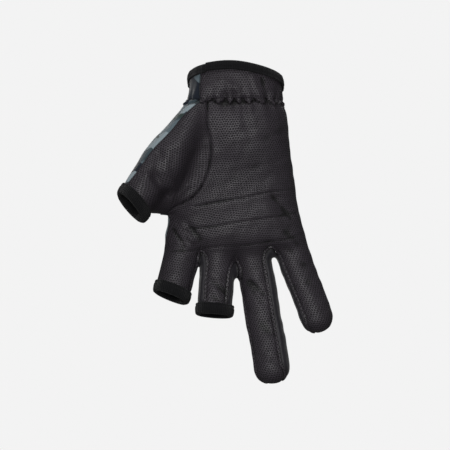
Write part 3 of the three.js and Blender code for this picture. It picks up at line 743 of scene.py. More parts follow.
def hand_panel(side, angles, left_seam):
    """The palm or back panel: a cuff, a palm and four fingers, with how far across and down each point is."""
    sides = [finger_side(side, k) for k in range(4)]
    bottom = np.concatenate([sides[0][0][:1], *[rows[0][1:] for rows in sides]])
    share = np.concatenate([[0], *[(k + crowded_ends(FINGER_COLUMNS)[1:]) / 4 for k in range(4)]])
    edge, start, end = angles
    extra = CUFF_EDGE_COLUMNS if side == "front" else THUMB_COLUMNS
    turns = np.concatenate([np.linspace(edge, start, extra + 1)[:-1], mix(start, end, share)])
    gather = on_elastic(turns)
    gather[extra], gather[-1] = left_seam[0], ulnar_seam[0]
    make = plain_patch if side == "front" else hand_patch
    patch = relaxed(make((gather[extra:], bottom, left_seam, ulnar_seam), share), *PALM_RELAXING[side])
    down = (1 - np.linspace(1, 0, CUFF_ROWS + 1) ** CUFF_CROWDING)[:, None]
    cuff = on_wrist(mix(rim(turns), gather[:, 2], down), np.broadcast_to(turns, (CUFF_ROWS + 1, len(turns))))
    cuff[-1] = gather
    middle = 2 * FINGER_COLUMNS
    v = lengths(patch)
    u = from_middle(patch, middle, 0)
    cuff_v = lengths(cuff)
    maps = [(from_middle(cuff, middle + extra, 0), cuff_v - cuff_v[-1]), (u, v)]
    for k, rows in enumerate(sides):
        centre = k * FINGER_COLUMNS + FINGER_COLUMNS // 2
        first = slice(k * FINGER_COLUMNS, (k + 1) * FINGER_COLUMNS + 1)
        across = from_middle(rows, FINGER_COLUMNS // 2, u[-1, centre])
        maps.append((across + (u[-1, first] - across[0]), lengths(rows) + v[-1, first]))
    return {"cuff": cuff, "gather": gather, "sides": sides, "grids": [cuff, patch, *sides], "maps": maps}


palm_grid = hand_panel("front", [CUFF_ANGLES[key] for key in ("edge", "front", "ulnar")],
                       np.concatenate([front_arc, radial_seam[1:]]))
back_grid = hand_panel("back", [CUFF_ANGLES["edge"] + 360, CUFF_ANGLES["back"] + 360, CUFF_ANGLES["ulnar"]],
                       np.concatenate([back_arc, radial_seam[1:]]))


def thumb_leaf(top, arc, outer_angle, patch):
    """A leaf of the thumb, from the elastic to the cut end."""
    angles = np.linspace(outer_angle, THUMB_SEAMS["inner"], THUMB_COLUMNS + 1)
    steps = np.linspace(BINDING_WIDTH, 0, TAPE_ROWS + 1)[:, None]
    tape = on_thumb(thumb_end(angles) - steps, np.broadcast_to(angles, (TAPE_ROWS + 1, len(angles))))
    tape[0, 0], tape[0, -1] = outer_stop, inner_stop
    borders = (top, tape[0], outer_seam, np.concatenate([arc, inner_seam[1:]]))
    return np.concatenate([relaxed(patch(borders, np.linspace(0, 1, len(top))), LIMB_RELAXING), tape[1:]])


front_top = palm_grid["gather"][: CUFF_EDGE_COLUMNS + 1]
front_top = resampled(front_top, np.linspace(0, lengths(front_top)[-1], THUMB_COLUMNS + 1))
back_top = back_grid["gather"][: THUMB_COLUMNS + 1]
thumb_front_grid = thumb_leaf(front_top, front_arc, THUMB_SEAMS["outer"], plain_patch)
thumb_back_grid = thumb_leaf(back_top, back_arc, THUMB_SEAMS["outer"] + 360, thumb_patch)


def fourchette_grids(k):
    """A strip between two fingers: down one finger's side, over the crotch and down the other's."""
    low = WEBS[k] - np.array([0, 0, WEB_RADIUS + 0.3])
    crest_points = [nearest(low + np.array([0, WEB_REACH * t, 0])) for t in (-0.7, 0, 0.7)]
    ends = [CROTCHES[k][side] for side in ("front", "back")]
    crest = rail([ends[0], *crest_points, ends[1]], np.linspace(0, 1, STRIP_COLUMNS + 1))
    halves = []
    for half, edge in enumerate(("right", "left")):
        f = FINGERS[k + half]
        front, back = f.seams["front_" + edge], f.seams["back_" + edge] - 360 * half
        angles = np.linspace(front, back, STRIP_COLUMNS + 1)
        tips = np.broadcast_to(f.tip(1 - half), (STRIP_COLUMNS + 1, 3)) if f.whole else None
        rows = relaxed(finger_lines(f, crest, angles, tips, CAP_END), STRIP_RELAXING)
        halves.append(rows[:, ::-1] if half else rows)
    return halves


def plain_map(grid):
    return from_middle(grid, grid.shape[1] // 2, 0), lengths(grid)


def weld(grids, maps):
    """One mesh from grids that share points: its points, triangles and each point's place on the cloth."""
    places = np.concatenate([grid.reshape(-1, 3) for grid in grids])
    numbers = np.concatenate([np.stack(pair, -1).reshape(-1, 2) for pair in maps])
    _, first, ids = np.unique(np.round(places, 3), axis=0, return_index=True, return_inverse=True)
    ids = ids.reshape(-1)
    faces, offset = [], 0
    for grid in grids:
        rows, columns = grid.shape[:2]
        index = ids[offset: offset + rows * columns].reshape(rows, columns)
        a, b, c, d = index[:-1, :-1], index[1:, :-1], index[1:, 1:], index[:-1, 1:]
        faces += [np.stack([a, b, c], -1).reshape(-1, 3), np.stack([a, c, d], -1).reshape(-1, 3)]
        offset += rows * columns
    faces = np.concatenate(faces)
    whole = (faces[:, 0] != faces[:, 1]) & (faces[:, 1] != faces[:, 2]) & (faces[:, 2] != faces[:, 0])
    return places[first], faces[whole], numbers[first]


def normals_of(points, faces):
    """Each point's normal: the sum of its triangles' normals, by their areas."""
    a, b, c = [points[faces[:, k]] for k in range(3)]
    cross = np.cross(b - a, c - a)
    total = [np.bincount(faces.ravel(), np.repeat(cross[:, k], 3), len(points)) for k in range(3)]
    return unit(np.stack(total, -1))


def border_edges(faces, count):
    """The directed edges that only one triangle has."""
    a = faces.ravel()
    b = faces[:, [1, 2, 0]].ravel()
    lone = ~np.isin(a.astype(np.int64) * count + b, b.astype(np.int64) * count + a)
    return a[lone], b[lone]


def in_parts(points, targets):
    """The points in parts that are small enough to be measured against all targets at once."""
    return np.array_split(points, max(1, len(points) * len(targets) // 8_000_000))


def distance_to(points, lines, step=0.35):
    """How far each point is from the nearest of some lines, by close samples of the lines."""
    places = [np.arange(0, lengths(line)[-1] + step, step) for line in lines]
    samples = np.concatenate([resampled(line, at) for line, at in zip(lines, places)])
    squares = (samples**2).sum(-1)
    best = []
    for part in in_parts(points, samples):
        far = (part**2).sum(-1)[:, None] + squares - 2 * part @ samples.T
        best.append(np.sqrt(np.maximum(far.min(axis=1), 0)))
    return np.concatenate(best)


def closest(points, targets):
    """For each point, the number of the target nearest to it."""
    squares = (targets**2).sum(-1)
    parts = in_parts(points, targets)
    return np.concatenate([(squares - 2 * part @ targets.T).argmin(axis=1) for part in parts])


def ring_corners(rows, columns):
    """The rows and columns of the four corners of each face, for a grid that closes across."""
    i, j = np.meshgrid(np.arange(rows), np.arange(columns), indexing="ij")
    return [(i, j), (i + 1, j), (i + 1, j + 1), (i, j + 1)]


def point_numbers(corners, rows, columns):
    return np.stack([(i % rows) * columns + j % columns for i, j in corners], -1).reshape(-1, 4)


def linked(name, data):
    obj = bpy.data.objects.new(name, data)
    bpy.context.scene.collection.objects.link(obj)
    return obj


def mesh_object(name, points, faces, material, uv=None, values=None, flat_angle=50):
    """A mesh from arrays in millimetres, riding on the glove, with its map for each point or each face's
    corner, and its values for each point."""
    mesh = bpy.data.meshes.new(name)
    mesh.from_pydata((points * METRES).tolist(), [], faces.tolist())
    if uv is not None:
        corners = np.zeros(len(mesh.loops), np.int32)
        mesh.loops.foreach_get("vertex_index", corners)
        uv = uv if len(uv) == len(corners) else uv[corners]
        mesh.uv_layers.new(name="Cloth").data.foreach_set("uv", uv.astype(np.float32).ravel())
    for key, value in (values or {}).items():
        mesh.attributes.new(key, "FLOAT", "POINT").data.foreach_set("value", value.astype(np.float32))
    mesh.validate()
    mesh.shade_smooth()
    mesh.set_sharp_from_angle(angle=math.radians(flat_angle))
    mesh.materials.append(material)
    obj = linked(name, mesh)
    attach(obj, "root")
    return obj


def eased(t):
    t = np.clip(t, 0, 1)
    return t * t * (3 - 2 * t)


# The gathers' lobes: the cuff's cloth hangs over the elastic's line in points
LOBE_DROP = 2.9
LOBE_RISE = 3.9
LOBE_PUFF = 1.0
LOBE_EDGE = 0.35
LOBE_FADE = 2.6
TUCK_DEPTH = 1.2
TUCK_FADE = 1.5
PLEAT_DEPTH = 0.36

# Creases and ridges of the worn cloth, from one place to another in millimetres. A ridge has a depth below 0.
FRONT_CREASES = table("""
    x0     z0      x1     z1      width  depth
    -34.5  -94.9   -27.3  -106    1.7    -0.7
    -37.7  -106.6  -29.6  -109.2  1.4    -0.5
    -40    -98     -33    -109    1.6    0.5
    -30    -96     -22    -105    1.8    0.35
    9.8    -133    18.2   -139.8  2.2    0.8
    11     -139    17.5   -145.5  1.8    0.45
    -17    -131    -6     -138.5  2.0    0.5
    -15    -141    -7     -146.5  1.6    0.4
    -19    -125    -11    -129    2.2    -0.35
    24     -77     36     -91     1.8    0.55
    20     -84     30     -98     2.6    -0.4
    30     -98     41     -108    2.2    0.4
    33     -110    44     -121    2.6    0.35
    11.5   0       15     -12     2.2    -0.7
    17.5   1       19.5   -13     1.8    0.6
    -9     -2      5      -11     2.6    -0.6
    -14    -8      -4     -13     1.8    0.4
    -57    -62     -50    -75     1.8    -0.6
    -44    -60     -41    -70     1.8    -0.5
    -33    -64     -38    -74     1.6    0.4
    -30    -70     -37    -78     1.4    -0.35
    17     -160    24     -166    2.4    0.3
    15     -178    25     -181    2.6    0.25
    47     -133    56     -138    2.4    0.3
    -50    -95     -60    -93     5      1.9
    -27    -32     -41    -74     8.5    -3.2
""")
BACK_CREASES = table("""
    x0     z0      x1     z1      width  depth
    -20    -40     8      -46     3.0    0.5
    -5     -56     22     -50     3.4    0.45
    -30    -78     -12    -84     2.8    0.5
    14     -88     30     -80     3.0    0.4
    -36    -110    -24    -114    2.2    0.5
    -16    -116    -4     -120    2.4    0.5
    8      -122    20     -118    2.4    0.45
    30     -112    42     -108    2.4    0.45
    10     -142    20     -146    2.2    0.4
    44     -138    54     -134    2.2    0.35
    -50    -52     -40    -60     2.4    0.45
    8      -1      12     -12     2.4    -0.6
    -50    -95     -60    -93     5      1.6
    -12    -1      -9     -12     2.2    0.5
""")

# Slow waves of slack cloth: how fast each turns along x, y and z, in radians a millimetre, and its depth
RIPPLES = table("""
    x      y      z      phase  depth
    0.42   0.1    0.21   0.4    0.08
    -0.25  0.2    0.5    2.1    0.07
    0.61   -0.3   -0.33  4.0    0.05
    0.15   0.4    -0.72  5.2    0.04
    -0.14  0.05   0.11   1.0    0.18
""")

# The three lines quilted across the palm
QUILT_TABLE = table("""
    line  x      z
    0     -26.5  -83.8
    0     -13.6  -81.3
    0     5.9    -78
    0     20.8   -74.8
    0     37     -72.4
    1     -34    -98.2
    1     -16.3  -96.9
    1     4.6    -93.6
    1     24.1   -90.7
    1     39.5   -87.6
    2     -41    -112.6
    2     -27.3  -112.3
    2     -11    -109.5
    2     2.3    -109
    2     16.9   -107.3
    2     29.9   -105.6
    2     44     -101
""")
QUILT_POINTS = 160


def turned_seam(far):
    """A seam whose edge is turned under: a groove, a lip of cloth beside it and a dip behind the lip."""
    return 0.5 * bell(far - 1.0, 0.55) - 0.45 * bell(far - 2.2, 0.5) - 0.6 * bell(far, 0.4)


def plain_seam(far):
    """A seam that draws both cloths in, with a low swell behind it."""
    return 0.18 * bell(far - 2.4, 1.2) - 0.65 * bell(far, 0.75)


def quilted(far):
    """A line of stitches through the cloth: a groove between two low swells."""
    return 0.08 * bell(far - 1.9, 1.1) - 0.42 * bell(far, 0.6)


def frill(p):
    """The gathers at the elastic. The cuff's edge falls in points, lifted off the cloth below it, which is
    drawn in under the edge. Both have pleats that die away from the elastic."""
    turn = gather_turn(p)
    beside = 2 * np.abs((turn + 0.5) % 1 - 0.5)
    z = p[..., 2] - gather_line(p[..., 1]) + LOBE_DROP - LOBE_RISE * beside
    above, below = np.maximum(z, 0), np.maximum(-z, 0)
    over = 0.5 + 0.5 * np.tanh(z / LOBE_EDGE)
    pleat = PLEAT_DEPTH * np.cos(2 * np.pi * turn)
    cuff = LOBE_PUFF * (1 - 0.4 * beside) * np.exp(-above / LOBE_FADE) + pleat * np.exp(-above / 5)
    hand = -TUCK_DEPTH * np.exp(-below / TUCK_FADE) + pleat * np.exp(-below / 6)
    return np.where(np.abs(z) < 40, over * cuff + (1 - over) * hand, 0)


def slack(p):
    """The cloth's own unevenness: slow waves, and the creases of its side."""
    total = 0
    for row in RIPPLES:
        turn = p @ np.array([row["x"], row["y"], row["z"]])
        total = total + row["depth"] * np.sin(turn + row["phase"] + 0.8 * np.sin(0.37 * turn + row["phase"]))
    middle = section(p[..., 2])[1]
    for rows, side in ((FRONT_CREASES, p[..., 1] < middle), (BACK_CREASES, p[..., 1] > middle)):
        for row in rows:
            ends = [np.array([row["x" + end], row["z" + end]]) for end in "01"]
            total = total - side * row["depth"] * bell(bar(p[..., [0, 2]], *ends, 0), row["width"])
    return total


# The cloth under a tape is pressed flat. It comes free again over TAPE_EASE, from TAPE_LEAD inside the
# tape's edge.
TAPE_PRESS = 0.12
TAPE_LEAD = 1.6
TAPE_EASE = 2.4


def cloth(turned, plain, ends, quilts=()):
    """A panel's relief: seams by their kinds, quilted lines and slack cloth, held flat under the tapes."""

    def relief(p):
        total = slack(p) + frill(p)
        for lines, shape in ((turned, turned_seam), (plain, plain_seam), (quilts, quilted)):
            if len(lines):
                total = total + shape(distance_to(p, lines))
        for lines, width in ends:
            free = eased((distance_to(p, lines) - width + TAPE_LEAD) / TAPE_EASE)
            total = total * free - TAPE_PRESS * (1 - free)
        return total

    return relief


# How much of its relief a panel's inner surface follows, and the most that it rises
INNER_SHARE = 0.8
INNER_RISE = 0.3


def panel(name, node, grids, relief, material, maps=None):
    """A sewn panel: its grids welded, its edges drawn back by half the seam's gap, moved out by its relief,
    and closed by the same surface one wall further in. Returns the outer surface for what is sewn on it."""
    points, faces, uv = weld(grids, maps or [plain_map(grid) for grid in grids])
    outwards = slope(points)
    if (normals_of(points, faces) * outwards).sum() < 0:
        faces = faces[:, ::-1]
    start, end = border_edges(faces, len(points))
    inwards = unit(np.cross(outwards[start], points[end] - points[start]))
    pull = np.zeros_like(points)
    np.add.at(pull, start, inwards)
    np.add.at(pull, end, inwards)
    raised = relief(points)
    base = points + unit(pull) * (np.linalg.norm(pull, axis=1, keepdims=True) > 0.1) * SEAM_GAP / 2
    outer = base + outwards * raised[:, None]
    normals = normals_of(outer, faces)
    inner = base + outwards * np.minimum(raised, INNER_RISE)[:, None] * INNER_SHARE - normals * WALL
    count = len(points)
    sides = np.concatenate([
        np.stack([end, start, start + count], -1),
        np.stack([end, start + count, end + count], -1),
    ])
    all_faces = np.concatenate([faces, faces[:, ::-1] + count, sides])
    # Painted shade: the shaders darken the cloth by this value in its grooves, and the inner surface's value
    # is one lower, so most of the glove's inside is painted at its darkest.
    values = {"Shade_relief": np.concatenate([raised, raised - 1])}
    both = np.concatenate([outer, inner])
    obj = mesh_object(name, both, all_faces, material, np.tile(uv, (2, 1)), values)
    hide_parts(node)
    return outer, normals


# The tapes: the size of their faces, how far their outer leg swells, and the depth, length and phase of
# the waves along them
TAPE_STEP = 0.55
TAPE_CROWN = 0.22
TAPE_WAVES = ((0.07, 2.3, 0), (0.06, 1.1, 1), (0.05, 0.71, 2))

# Where a tape's end lies over its start: the step's length, the dip beside it, and how far it pushes the tape
# along. Then the groove of its line of stitches.
LAP_LENGTH = 0.8
LAP_DIP = 0.35
LAP_SLIDE = 0.7
TAPE_SEAM_DEPTH = 0.28
TAPE_SEAM_SPREAD = 0.45


def folded_section(width):
    """A tape's section folded over an edge, as runs towards the end and rises off the cloth: a U-shaped
    middle line with half the thickness laid off to both sides, and round ends."""
    half = BINDING_THICKNESS / 2
    outer, inner = BINDING_GAP + half, -WALL - BINDING_GAP - half
    bend = (outer - inner) / 2
    turn_run = BINDING_GAP + BINDING_THICKNESS - half - bend
    foot = half - (width - BINDING_GAP - BINDING_THICKNESS)
    leg = turn_run - foot
    total = 2 * leg + math.pi * bend
    s = crowded_ends(round(total / TAPE_STEP), 0.85) * (total + 2 * half) - half
    at = np.clip(s, 0, total)
    turn = np.clip((at - leg) / bend, 0, math.pi)
    inner_leg = np.where(at > total - leg, foot + total - at, turn_run + bend * np.sin(turn))
    run = np.where(at < leg, foot + at, inner_leg)
    rise = (outer + inner) / 2 + bend * np.cos(turn)
    beyond = s - at
    run = run + beyond * np.where(s < leg, 1, -1)
    thick = half * np.sqrt(np.clip(1 - (beyond / half) ** 2, 0, 1))
    swell = TAPE_CROWN * np.sin(math.pi * np.clip(at / leg, 0, 1)) * (at < leg)
    out = np.stack([np.sin(turn), np.cos(turn)], -1)
    middle = np.stack([run, rise + swell], -1)
    closed = np.concatenate([middle + out * thick[:, None], (middle - out * thick[:, None])[-2:0:-1]])
    return closed, np.concatenate([s, s[-2:0:-1]])


def tape(name, node, ring, width, lap, stitched):
    """A knit tape: its folded section carried round an opening. ring gives the points at a distance back from
    the cut end. lap is the angle where the tape's end lies over its start, with the step's height and length
    there, and stitched is where the line of stitches runs."""
    angles = np.linspace(0, 360, 2000, endpoint=False)
    dense = ring(angles, 0)
    run = lengths(np.concatenate([dense, dense[:1]]))
    count = round(run[-1] / TAPE_STEP)
    places = np.arange(count) * run[-1] / count
    angles = np.interp(places, run, np.append(angles, 360))
    edge, back = ring(angles, 0), ring(angles, width)
    profile, ways = folded_section(width)
    along = unit(edge - back)
    reach = np.clip(-profile[:, 0] / width, 0, 1)[None, :, None]
    up = unit(mix(slope(edge)[:, None], slope(back)[:, None], reach))
    outside = profile[:, 1] > 0
    rise = np.broadcast_to(profile[:, 1], (count, len(profile))).copy()
    wave = sum(depth * np.sin(places / size + phase) for depth, size, phase in TAPE_WAVES)
    rise += wave[:, None] * (0.4 + 0.6 * outside)
    angle, step, length = lap
    centre = np.interp(angle, angles, places)
    far = (places - centre + run[-1] / 2) % run[-1] - run[-1] / 2
    lift = step * eased(far / LAP_LENGTH + 0.5) * np.exp(-np.maximum(far, 0) / length)
    lift -= LAP_DIP * bell(far + 0.5, 0.5)
    rise += lift[:, None] * outside
    rise -= TAPE_SEAM_DEPTH * bell(profile[:, 0] - stitched, TAPE_SEAM_SPREAD) * outside
    runs = profile[:, 0] + LAP_SLIDE * lift[:, None]
    points = edge[:, None] + along[:, None] * runs[..., None] + up * rise[..., None]
    rows, columns = len(points), len(profile)
    corners = ring_corners(rows, columns)
    faces = point_numbers(corners, rows, columns)
    across = np.append(ways, ways[0])
    uv = np.stack([np.stack([i * run[-1] / count, across[j]], -1) for i, j in corners], -2).reshape(-1, 2)
    flat = points.reshape(-1, 3)
    a, b, c = [flat[faces[:, k]] for k in range(3)]
    if (np.cross(b - a, c - a) * a).sum() < 0:
        faces, uv = faces[:, ::-1], uv.reshape(-1, 4, 2)[:, ::-1].reshape(-1, 2)
    obj = mesh_object(name, flat, faces, knit, uv)
    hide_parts(node)


# A stitch's six rings: their places along its half length and their shares of its radius, and how far its
# ends are sunk in
STITCH_RUN = np.array([-1, -0.8, -0.35, 0.35, 0.8, 1])
STITCH_THICK = np.array([0, 0.62, 1, 1, 0.62, 0])
STITCH_SINK = 0.32


def stitches(name, lines, surface, pitch=2.7, length=2.0, radius=0.22, lift=0.08):
    """Rows of thread: a six-sided capsule for each stitch, laid on the cloth with its ends sunk in."""
    starts, ways = [], []
    for line in lines:
        places = np.arange(pitch / 2, lengths(line)[-1] - pitch / 4, pitch)
        starts.append(resampled(line, places))
        ways.append(unit(resampled(line, places + 0.2) - resampled(line, places - 0.2)))
    place, way = np.concatenate(starts), np.concatenate(ways)
    outer, normals = surface
    spot = closest(place, outer)
    up = normals[spot]
    place = place + up * (((outer[spot] - place) * up).sum(-1, keepdims=True) + lift)
    way = unit(way - up * (way * up).sum(-1, keepdims=True))
    side = np.cross(up, way)
    run, thick = np.repeat(STITCH_RUN, 6), np.repeat(STITCH_THICK, 6)
    ring = np.tile(np.arange(6) * math.pi / 3, 6)
    x = run * length / 2
    y = thick * np.sin(ring) * radius
    z = thick * np.cos(ring) * radius - STITCH_SINK * np.abs(run) ** 3
    parts = place[:, None] + way[:, None] * x[:, None] + side[:, None] * y[:, None] + up[:, None] * z[:, None]
    quads = point_numbers(ring_corners(5, 6), 6, 6)
    triangles = np.concatenate([quads[:, [0, 3, 2]], quads[:, [0, 2, 1]]])
    kept = np.where(triangles < 6, 0, np.where(triangles >= 30, 25, triangles - 5))
    kept = kept[(kept[:, 0] != kept[:, 1]) & (kept[:, 1] != kept[:, 2]) & (kept[:, 2] != kept[:, 0])]
    chosen = np.concatenate([[0], np.arange(6, 30), [30]])
    points = parts[:, chosen].reshape(-1, 3)
    faces = (kept[None] + np.arange(len(place))[:, None, None] * len(chosen)).reshape(-1, 3)
    mesh_object(name, points, faces, thread, flat_angle=80)


def srgb(code):
    """A hex colour as linear numbers."""
    parts = [int(code[k: k + 2], 16) / 255 for k in (1, 3, 5)]
    return tuple(c / 12.92 if c <= 0.04045 else ((c + 0.055) / 1.055) ** 2.4 for c in parts) + (1.0,)


def add(tree, kind, inputs=(), **settings):
    """Adds a node with its settings, and its inputs by order or name: values, nodes or their outputs."""
    node = tree.nodes.new("ShaderNode" + kind)
    for key, value in settings.items():
        setattr(node, key, value)
    for key, value in (inputs if isinstance(inputs, dict) else dict(enumerate(inputs))).items():
        source = value.outputs[0] if isinstance(value, bpy.types.Node) else value
        if isinstance(source, bpy.types.NodeSocket):
            tree.links.new(source, node.inputs[key])
        else:
            node.inputs[key].default_value = source
    return node


def new_material(name, **constants):
    """A material with its shader's constant sockets set; underscores in their names stand for spaces."""
    material = bpy.data.materials.new(name)
    material.use_nodes = True
    shader = material.node_tree.nodes["Principled BSDF"]
    for key, value in constants.items():
        shader.inputs[key.replace("_", " ")].default_value = value
    return material, material.node_tree, shader


def dress(material, colour, roughness, height, depth):
    """Joins a finish to its shader; depth is the relief's real height in millimetres."""
    tree = material.node_tree
    bump = add(tree, "Bump", {"Height": height, "Strength": 1.0, "Distance": depth * METRES})
    for key, source in (("Base Color", colour), ("Roughness", roughness), ("Normal", bump)):
        tree.links.new(source.outputs[0], tree.nodes["Principled BSDF"].inputs[key])
    return material


def cloth_places(tree, across, down):
    """The cloth's own map in millimetres, counted in repeats of a pattern."""
    cloth_map = add(tree, "UVMap", uv_map="Cloth")
    return add(tree, "VectorMath", [cloth_map, (1 / across, 1 / down, 0)], operation="MULTIPLY")


def speckles(tree, size, detail):
    """Fine unevenness on the cloth, about as large as a size in millimetres."""
    return add(tree, "TexNoise", {"Vector": cloth_places(tree, size, size), "Scale": 1.0, "Detail": detail})


def ribs(tree, pitch):
    """Ribs that run down the cloth: a sine wave across it."""
    across = add(tree, "SeparateXYZ", [cloth_places(tree, pitch / math.tau, 1)])
    return add(tree, "Math", [across], operation="SINE")


def with_painted_groove_shade(tree, colour, low, high, deepest_shade):
    """Painted shade: darkens a colour by the panel's relief, most in the deepest grooves and not on the open
    cloth.
    """
    relief = add(tree, "Attribute", attribute_name="Shade_relief").outputs["Fac"]
    share = add(tree, "MapRange", [relief, low, high, deepest_shade, 1], interpolation_type="SMOOTHSTEP")
    return add(tree, "MixRGB", [1.0, colour, share], blend_type="MULTIPLY")


def leather_material():
    """Polyurethane leather: a knit backing with a film pressed between rollers, so it has rows of small pits,
    a soft sheen, and slight cloudiness where hands have rubbed it. The pits are 1.7 by 1.5 mm apart, and
    their near-black colour is painted shade, as is the darkening in the panel's creases."""
    material, tree, _ = new_material("Embossed synthetic leather", Specular_IOR_Level=0.5, IOR=1.46)
    cell = cloth_places(tree, 1.7, 1.5)
    wander = add(tree, "TexNoise", {"Vector": cell, "Scale": 0.35, "Detail": 2.0})
    moved = add(tree, "VectorMath", [wander.outputs["Color"], (0.6, 0.6, 0), cell], operation="MULTIPLY_ADD")
    x, y, _ = add(tree, "SeparateXYZ", [moved]).outputs
    row = add(tree, "Math", [y], operation="FLOOR")
    shifted = add(tree, "Math", [row, 0.5, x], operation="MULTIPLY_ADD")
    inside = add(tree, "VectorMath", [add(tree, "CombineXYZ", [shifted, y, 0.0])], operation="FRACTION")
    centred = add(tree, "VectorMath", [inside, (0.5, 0.5, 0)], operation="SUBTRACT")
    far = add(tree, "VectorMath", [centred], operation="LENGTH").outputs["Value"]
    pit = add(tree, "MapRange", [far, 0.2, 0.44, 1, 0], interpolation_type="SMOOTHSTEP")
    cloud, grain = speckles(tree, 16, 3.0), speckles(tree, 0.5, 2.0)
    film = add(tree, "MixRGB", [cloud, srgb("#2a252b"), srgb("#38323a")])
    # Painted shade: the pits are coloured nearly black, far darker than the film, as the shade in their
    # hollows.
    pit_shaded_film = add(tree, "MixRGB", [pit, film, srgb("#0c0a0d")])
    # Painted shade in the panel's grooves, down to a tenth of the colour.
    colour = with_painted_groove_shade(tree, pit_shaded_film, -0.58, -0.16, 0.1)
    rough = add(tree, "MapRange", [cloud, 0.3, 0.7, 0.44, 0.54])
    roughness = add(tree, "Math", [pit, 0.25, rough], operation="MULTIPLY_ADD")
    relief = add(tree, "Math", [pit, -1.0, add(tree, "Math", [grain, 0.25], operation="MULTIPLY")],
                 operation="MULTIPLY_ADD")
    return dress(material, colour, roughness, relief, 0.24)


def camouflage_material():
    """Printed polyester stretch fabric: a fine ribbed knit, matte, with a soft nap and a blotched print in
    greys, greens and blues. The blotches are 8 to 14 mm across, and the ribs are drawn 0.9 mm apart."""
    material, tree, shader = new_material("Printed stretch fabric", Sheen_Weight=0.25, Sheen_Roughness=0.5)
    shader.inputs["Specular IOR Level"].default_value = 0.25
    colour = srgb("#5d6b72")
    blotches = (("#3c494f", 24, 0.0, 0.52), ("#8c999f", 26, 7.3, 0.55), ("#121a26", 24, 15.1, 0.57),
                ("#2e3b39", 19, 23.9, 0.6))
    for code, size, shift, level in blotches:
        moved = [cloth_places(tree, size, size * 0.7), (shift, shift * 0.6, shift)]
        spot = add(tree, "VectorMath", moved, operation="ADD")
        shape = {"Vector": spot, "Scale": 1.0, "Detail": 1.5, "Roughness": 0.4, "Distortion": 0.5}
        noise = add(tree, "TexNoise", shape)
        patch = add(tree, "MapRange", [noise, level, level + 0.012, 0, 1])
        colour = add(tree, "MixRGB", [patch, colour, srgb(code)])
    rib, fibre = ribs(tree, 0.9), speckles(tree, 0.6, 3.0)
    worn = add(tree, "MapRange", [fibre, 0.3, 0.7, 0.82, 1.1])
    shaded = add(tree, "MixRGB", [1.0, colour, worn], blend_type="MULTIPLY")
    # Painted shade in the panel's grooves, down to four tenths of the colour.
    deep = with_painted_groove_shade(tree, shaded, -0.6, -0.18, 0.4)
    roughness = add(tree, "MapRange", [fibre, 0.3, 0.7, 0.8, 0.95])
    relief = add(tree, "Math", [rib, 0.4, fibre], operation="MULTIPLY_ADD")
    return dress(material, deep, roughness, relief, 0.09)


def stretch_material():
    """Nylon stretch fabric: a close smooth knit, a slight sheen along its fine ribs, drawn 0.8 mm apart."""
    material, tree, _ = new_material("Smooth stretch fabric", Sheen_Weight=0.2, Sheen_Roughness=0.4)
    rib, fibre = ribs(tree, 0.8), speckles(tree, 2.2, 4.0)
    dye = add(tree, "MixRGB", [fibre, srgb("#17151a"), srgb("#252229")])
    # Painted shade in the panel's grooves, down to 0.15 of the colour.
    colour = with_painted_groove_shade(tree, dye, -0.6, -0.18, 0.15)
    roughness = add(tree, "MapRange", [fibre, 0.3, 0.7, 0.48, 0.6])
    relief = add(tree, "Math", [rib, 0.5, fibre], operation="MULTIPLY_ADD")
    return dress(material, colour, roughness, relief, 0.06)


def knit_material():
    """Polyester binding tape: a soft ribbed knit, nearly matte black, with ribs 1.1 mm apart across the tape
    and a little fluff. Its colour follows its relief: painted shade in the rib hollows and a painted
    highlight on the raised ribs and fluff."""
    material, tree, shader = new_material("Black knit tape", Sheen_Weight=0.08, Sheen_Roughness=0.5)
    shader.inputs["Specular IOR Level"].default_value = 0.2
    x, y, _ = add(tree, "SeparateXYZ", [cloth_places(tree, 1.1 / math.tau, 0.9 / math.tau)]).outputs
    rib = add(tree, "Math", [x], operation="SINE")
    loop = add(tree, "Math", [y], operation="SINE")
    woven = add(tree, "Math", [loop, 0.35, rib], operation="MULTIPLY_ADD")
    fluff = speckles(tree, 0.7, 3.0)
    relief = add(tree, "Math", [fluff, 1.2, woven], operation="MULTIPLY_ADD")
    # Painted shade and painted highlight: the colour is darkest in the hollows of the ribs and lightest on
    # the raised fluff.
    shade = add(tree, "MapRange", [relief, -0.6, 1.8, 0, 1])
    colour = add(tree, "MixRGB", [shade, srgb("#060607"), srgb("#141417")])
    roughness = add(tree, "MapRange", [fluff, 0.3, 0.7, 0.82, 0.95])
    return dress(material, colour, roughness, relief, 0.14)


def thread_material():
    """Bonded polyester thread: black, twisted, with a slight gloss."""
    material, tree, shader = new_material("Black sewing thread", Roughness=0.5)
    place = add(tree, "TexCoord").outputs["Object"]
    twist = add(tree, "TexNoise", {"Vector": place, "Scale": 1600.0, "Detail": 1.0})
    colour = add(tree, "MixRGB", [twist, srgb("#060607"), srgb("#151518")])
    tree.links.new(colour.outputs[0], shader.inputs["Base Color"])
    return material


leather, camouflage = leather_material(), camouflage_material()
stretch, knit, thread = stretch_material(), knit_material(), thread_material()


def quilted_line(number):
    rows = [row for row in QUILT_TABLE if row["line"] == number]
    points = [on_face(row["x"], (-row["z"] - CUFF_HEIGHT) / PALM_LENGTH) for row in rows]
    return rail(points, np.linspace(0, 1, QUILT_POINTS + 1))


def hand_cloth(grid, arc, quilts=()):
    """A hand panel's relief: turned seams down the fingers' inner sides, and plain ones elsewhere."""
    sides = grid["sides"]
    seams = [rows[:, edge] for rows in sides for edge in (0, -1)]
    plain = [seams[0], seams[-1], radial_seam, ulnar_seam, arc, grid["cuff"][:, 0]]
    ends = [rows[-1] for f, rows in zip(FINGERS, sides) if not f.whole]
    taped = [(ends, BINDING_WIDTH), ([grid["cuff"][0]], WRIST_BINDING_WIDTH)]
    return cloth(seams[1:-1], plain, taped, quilts)


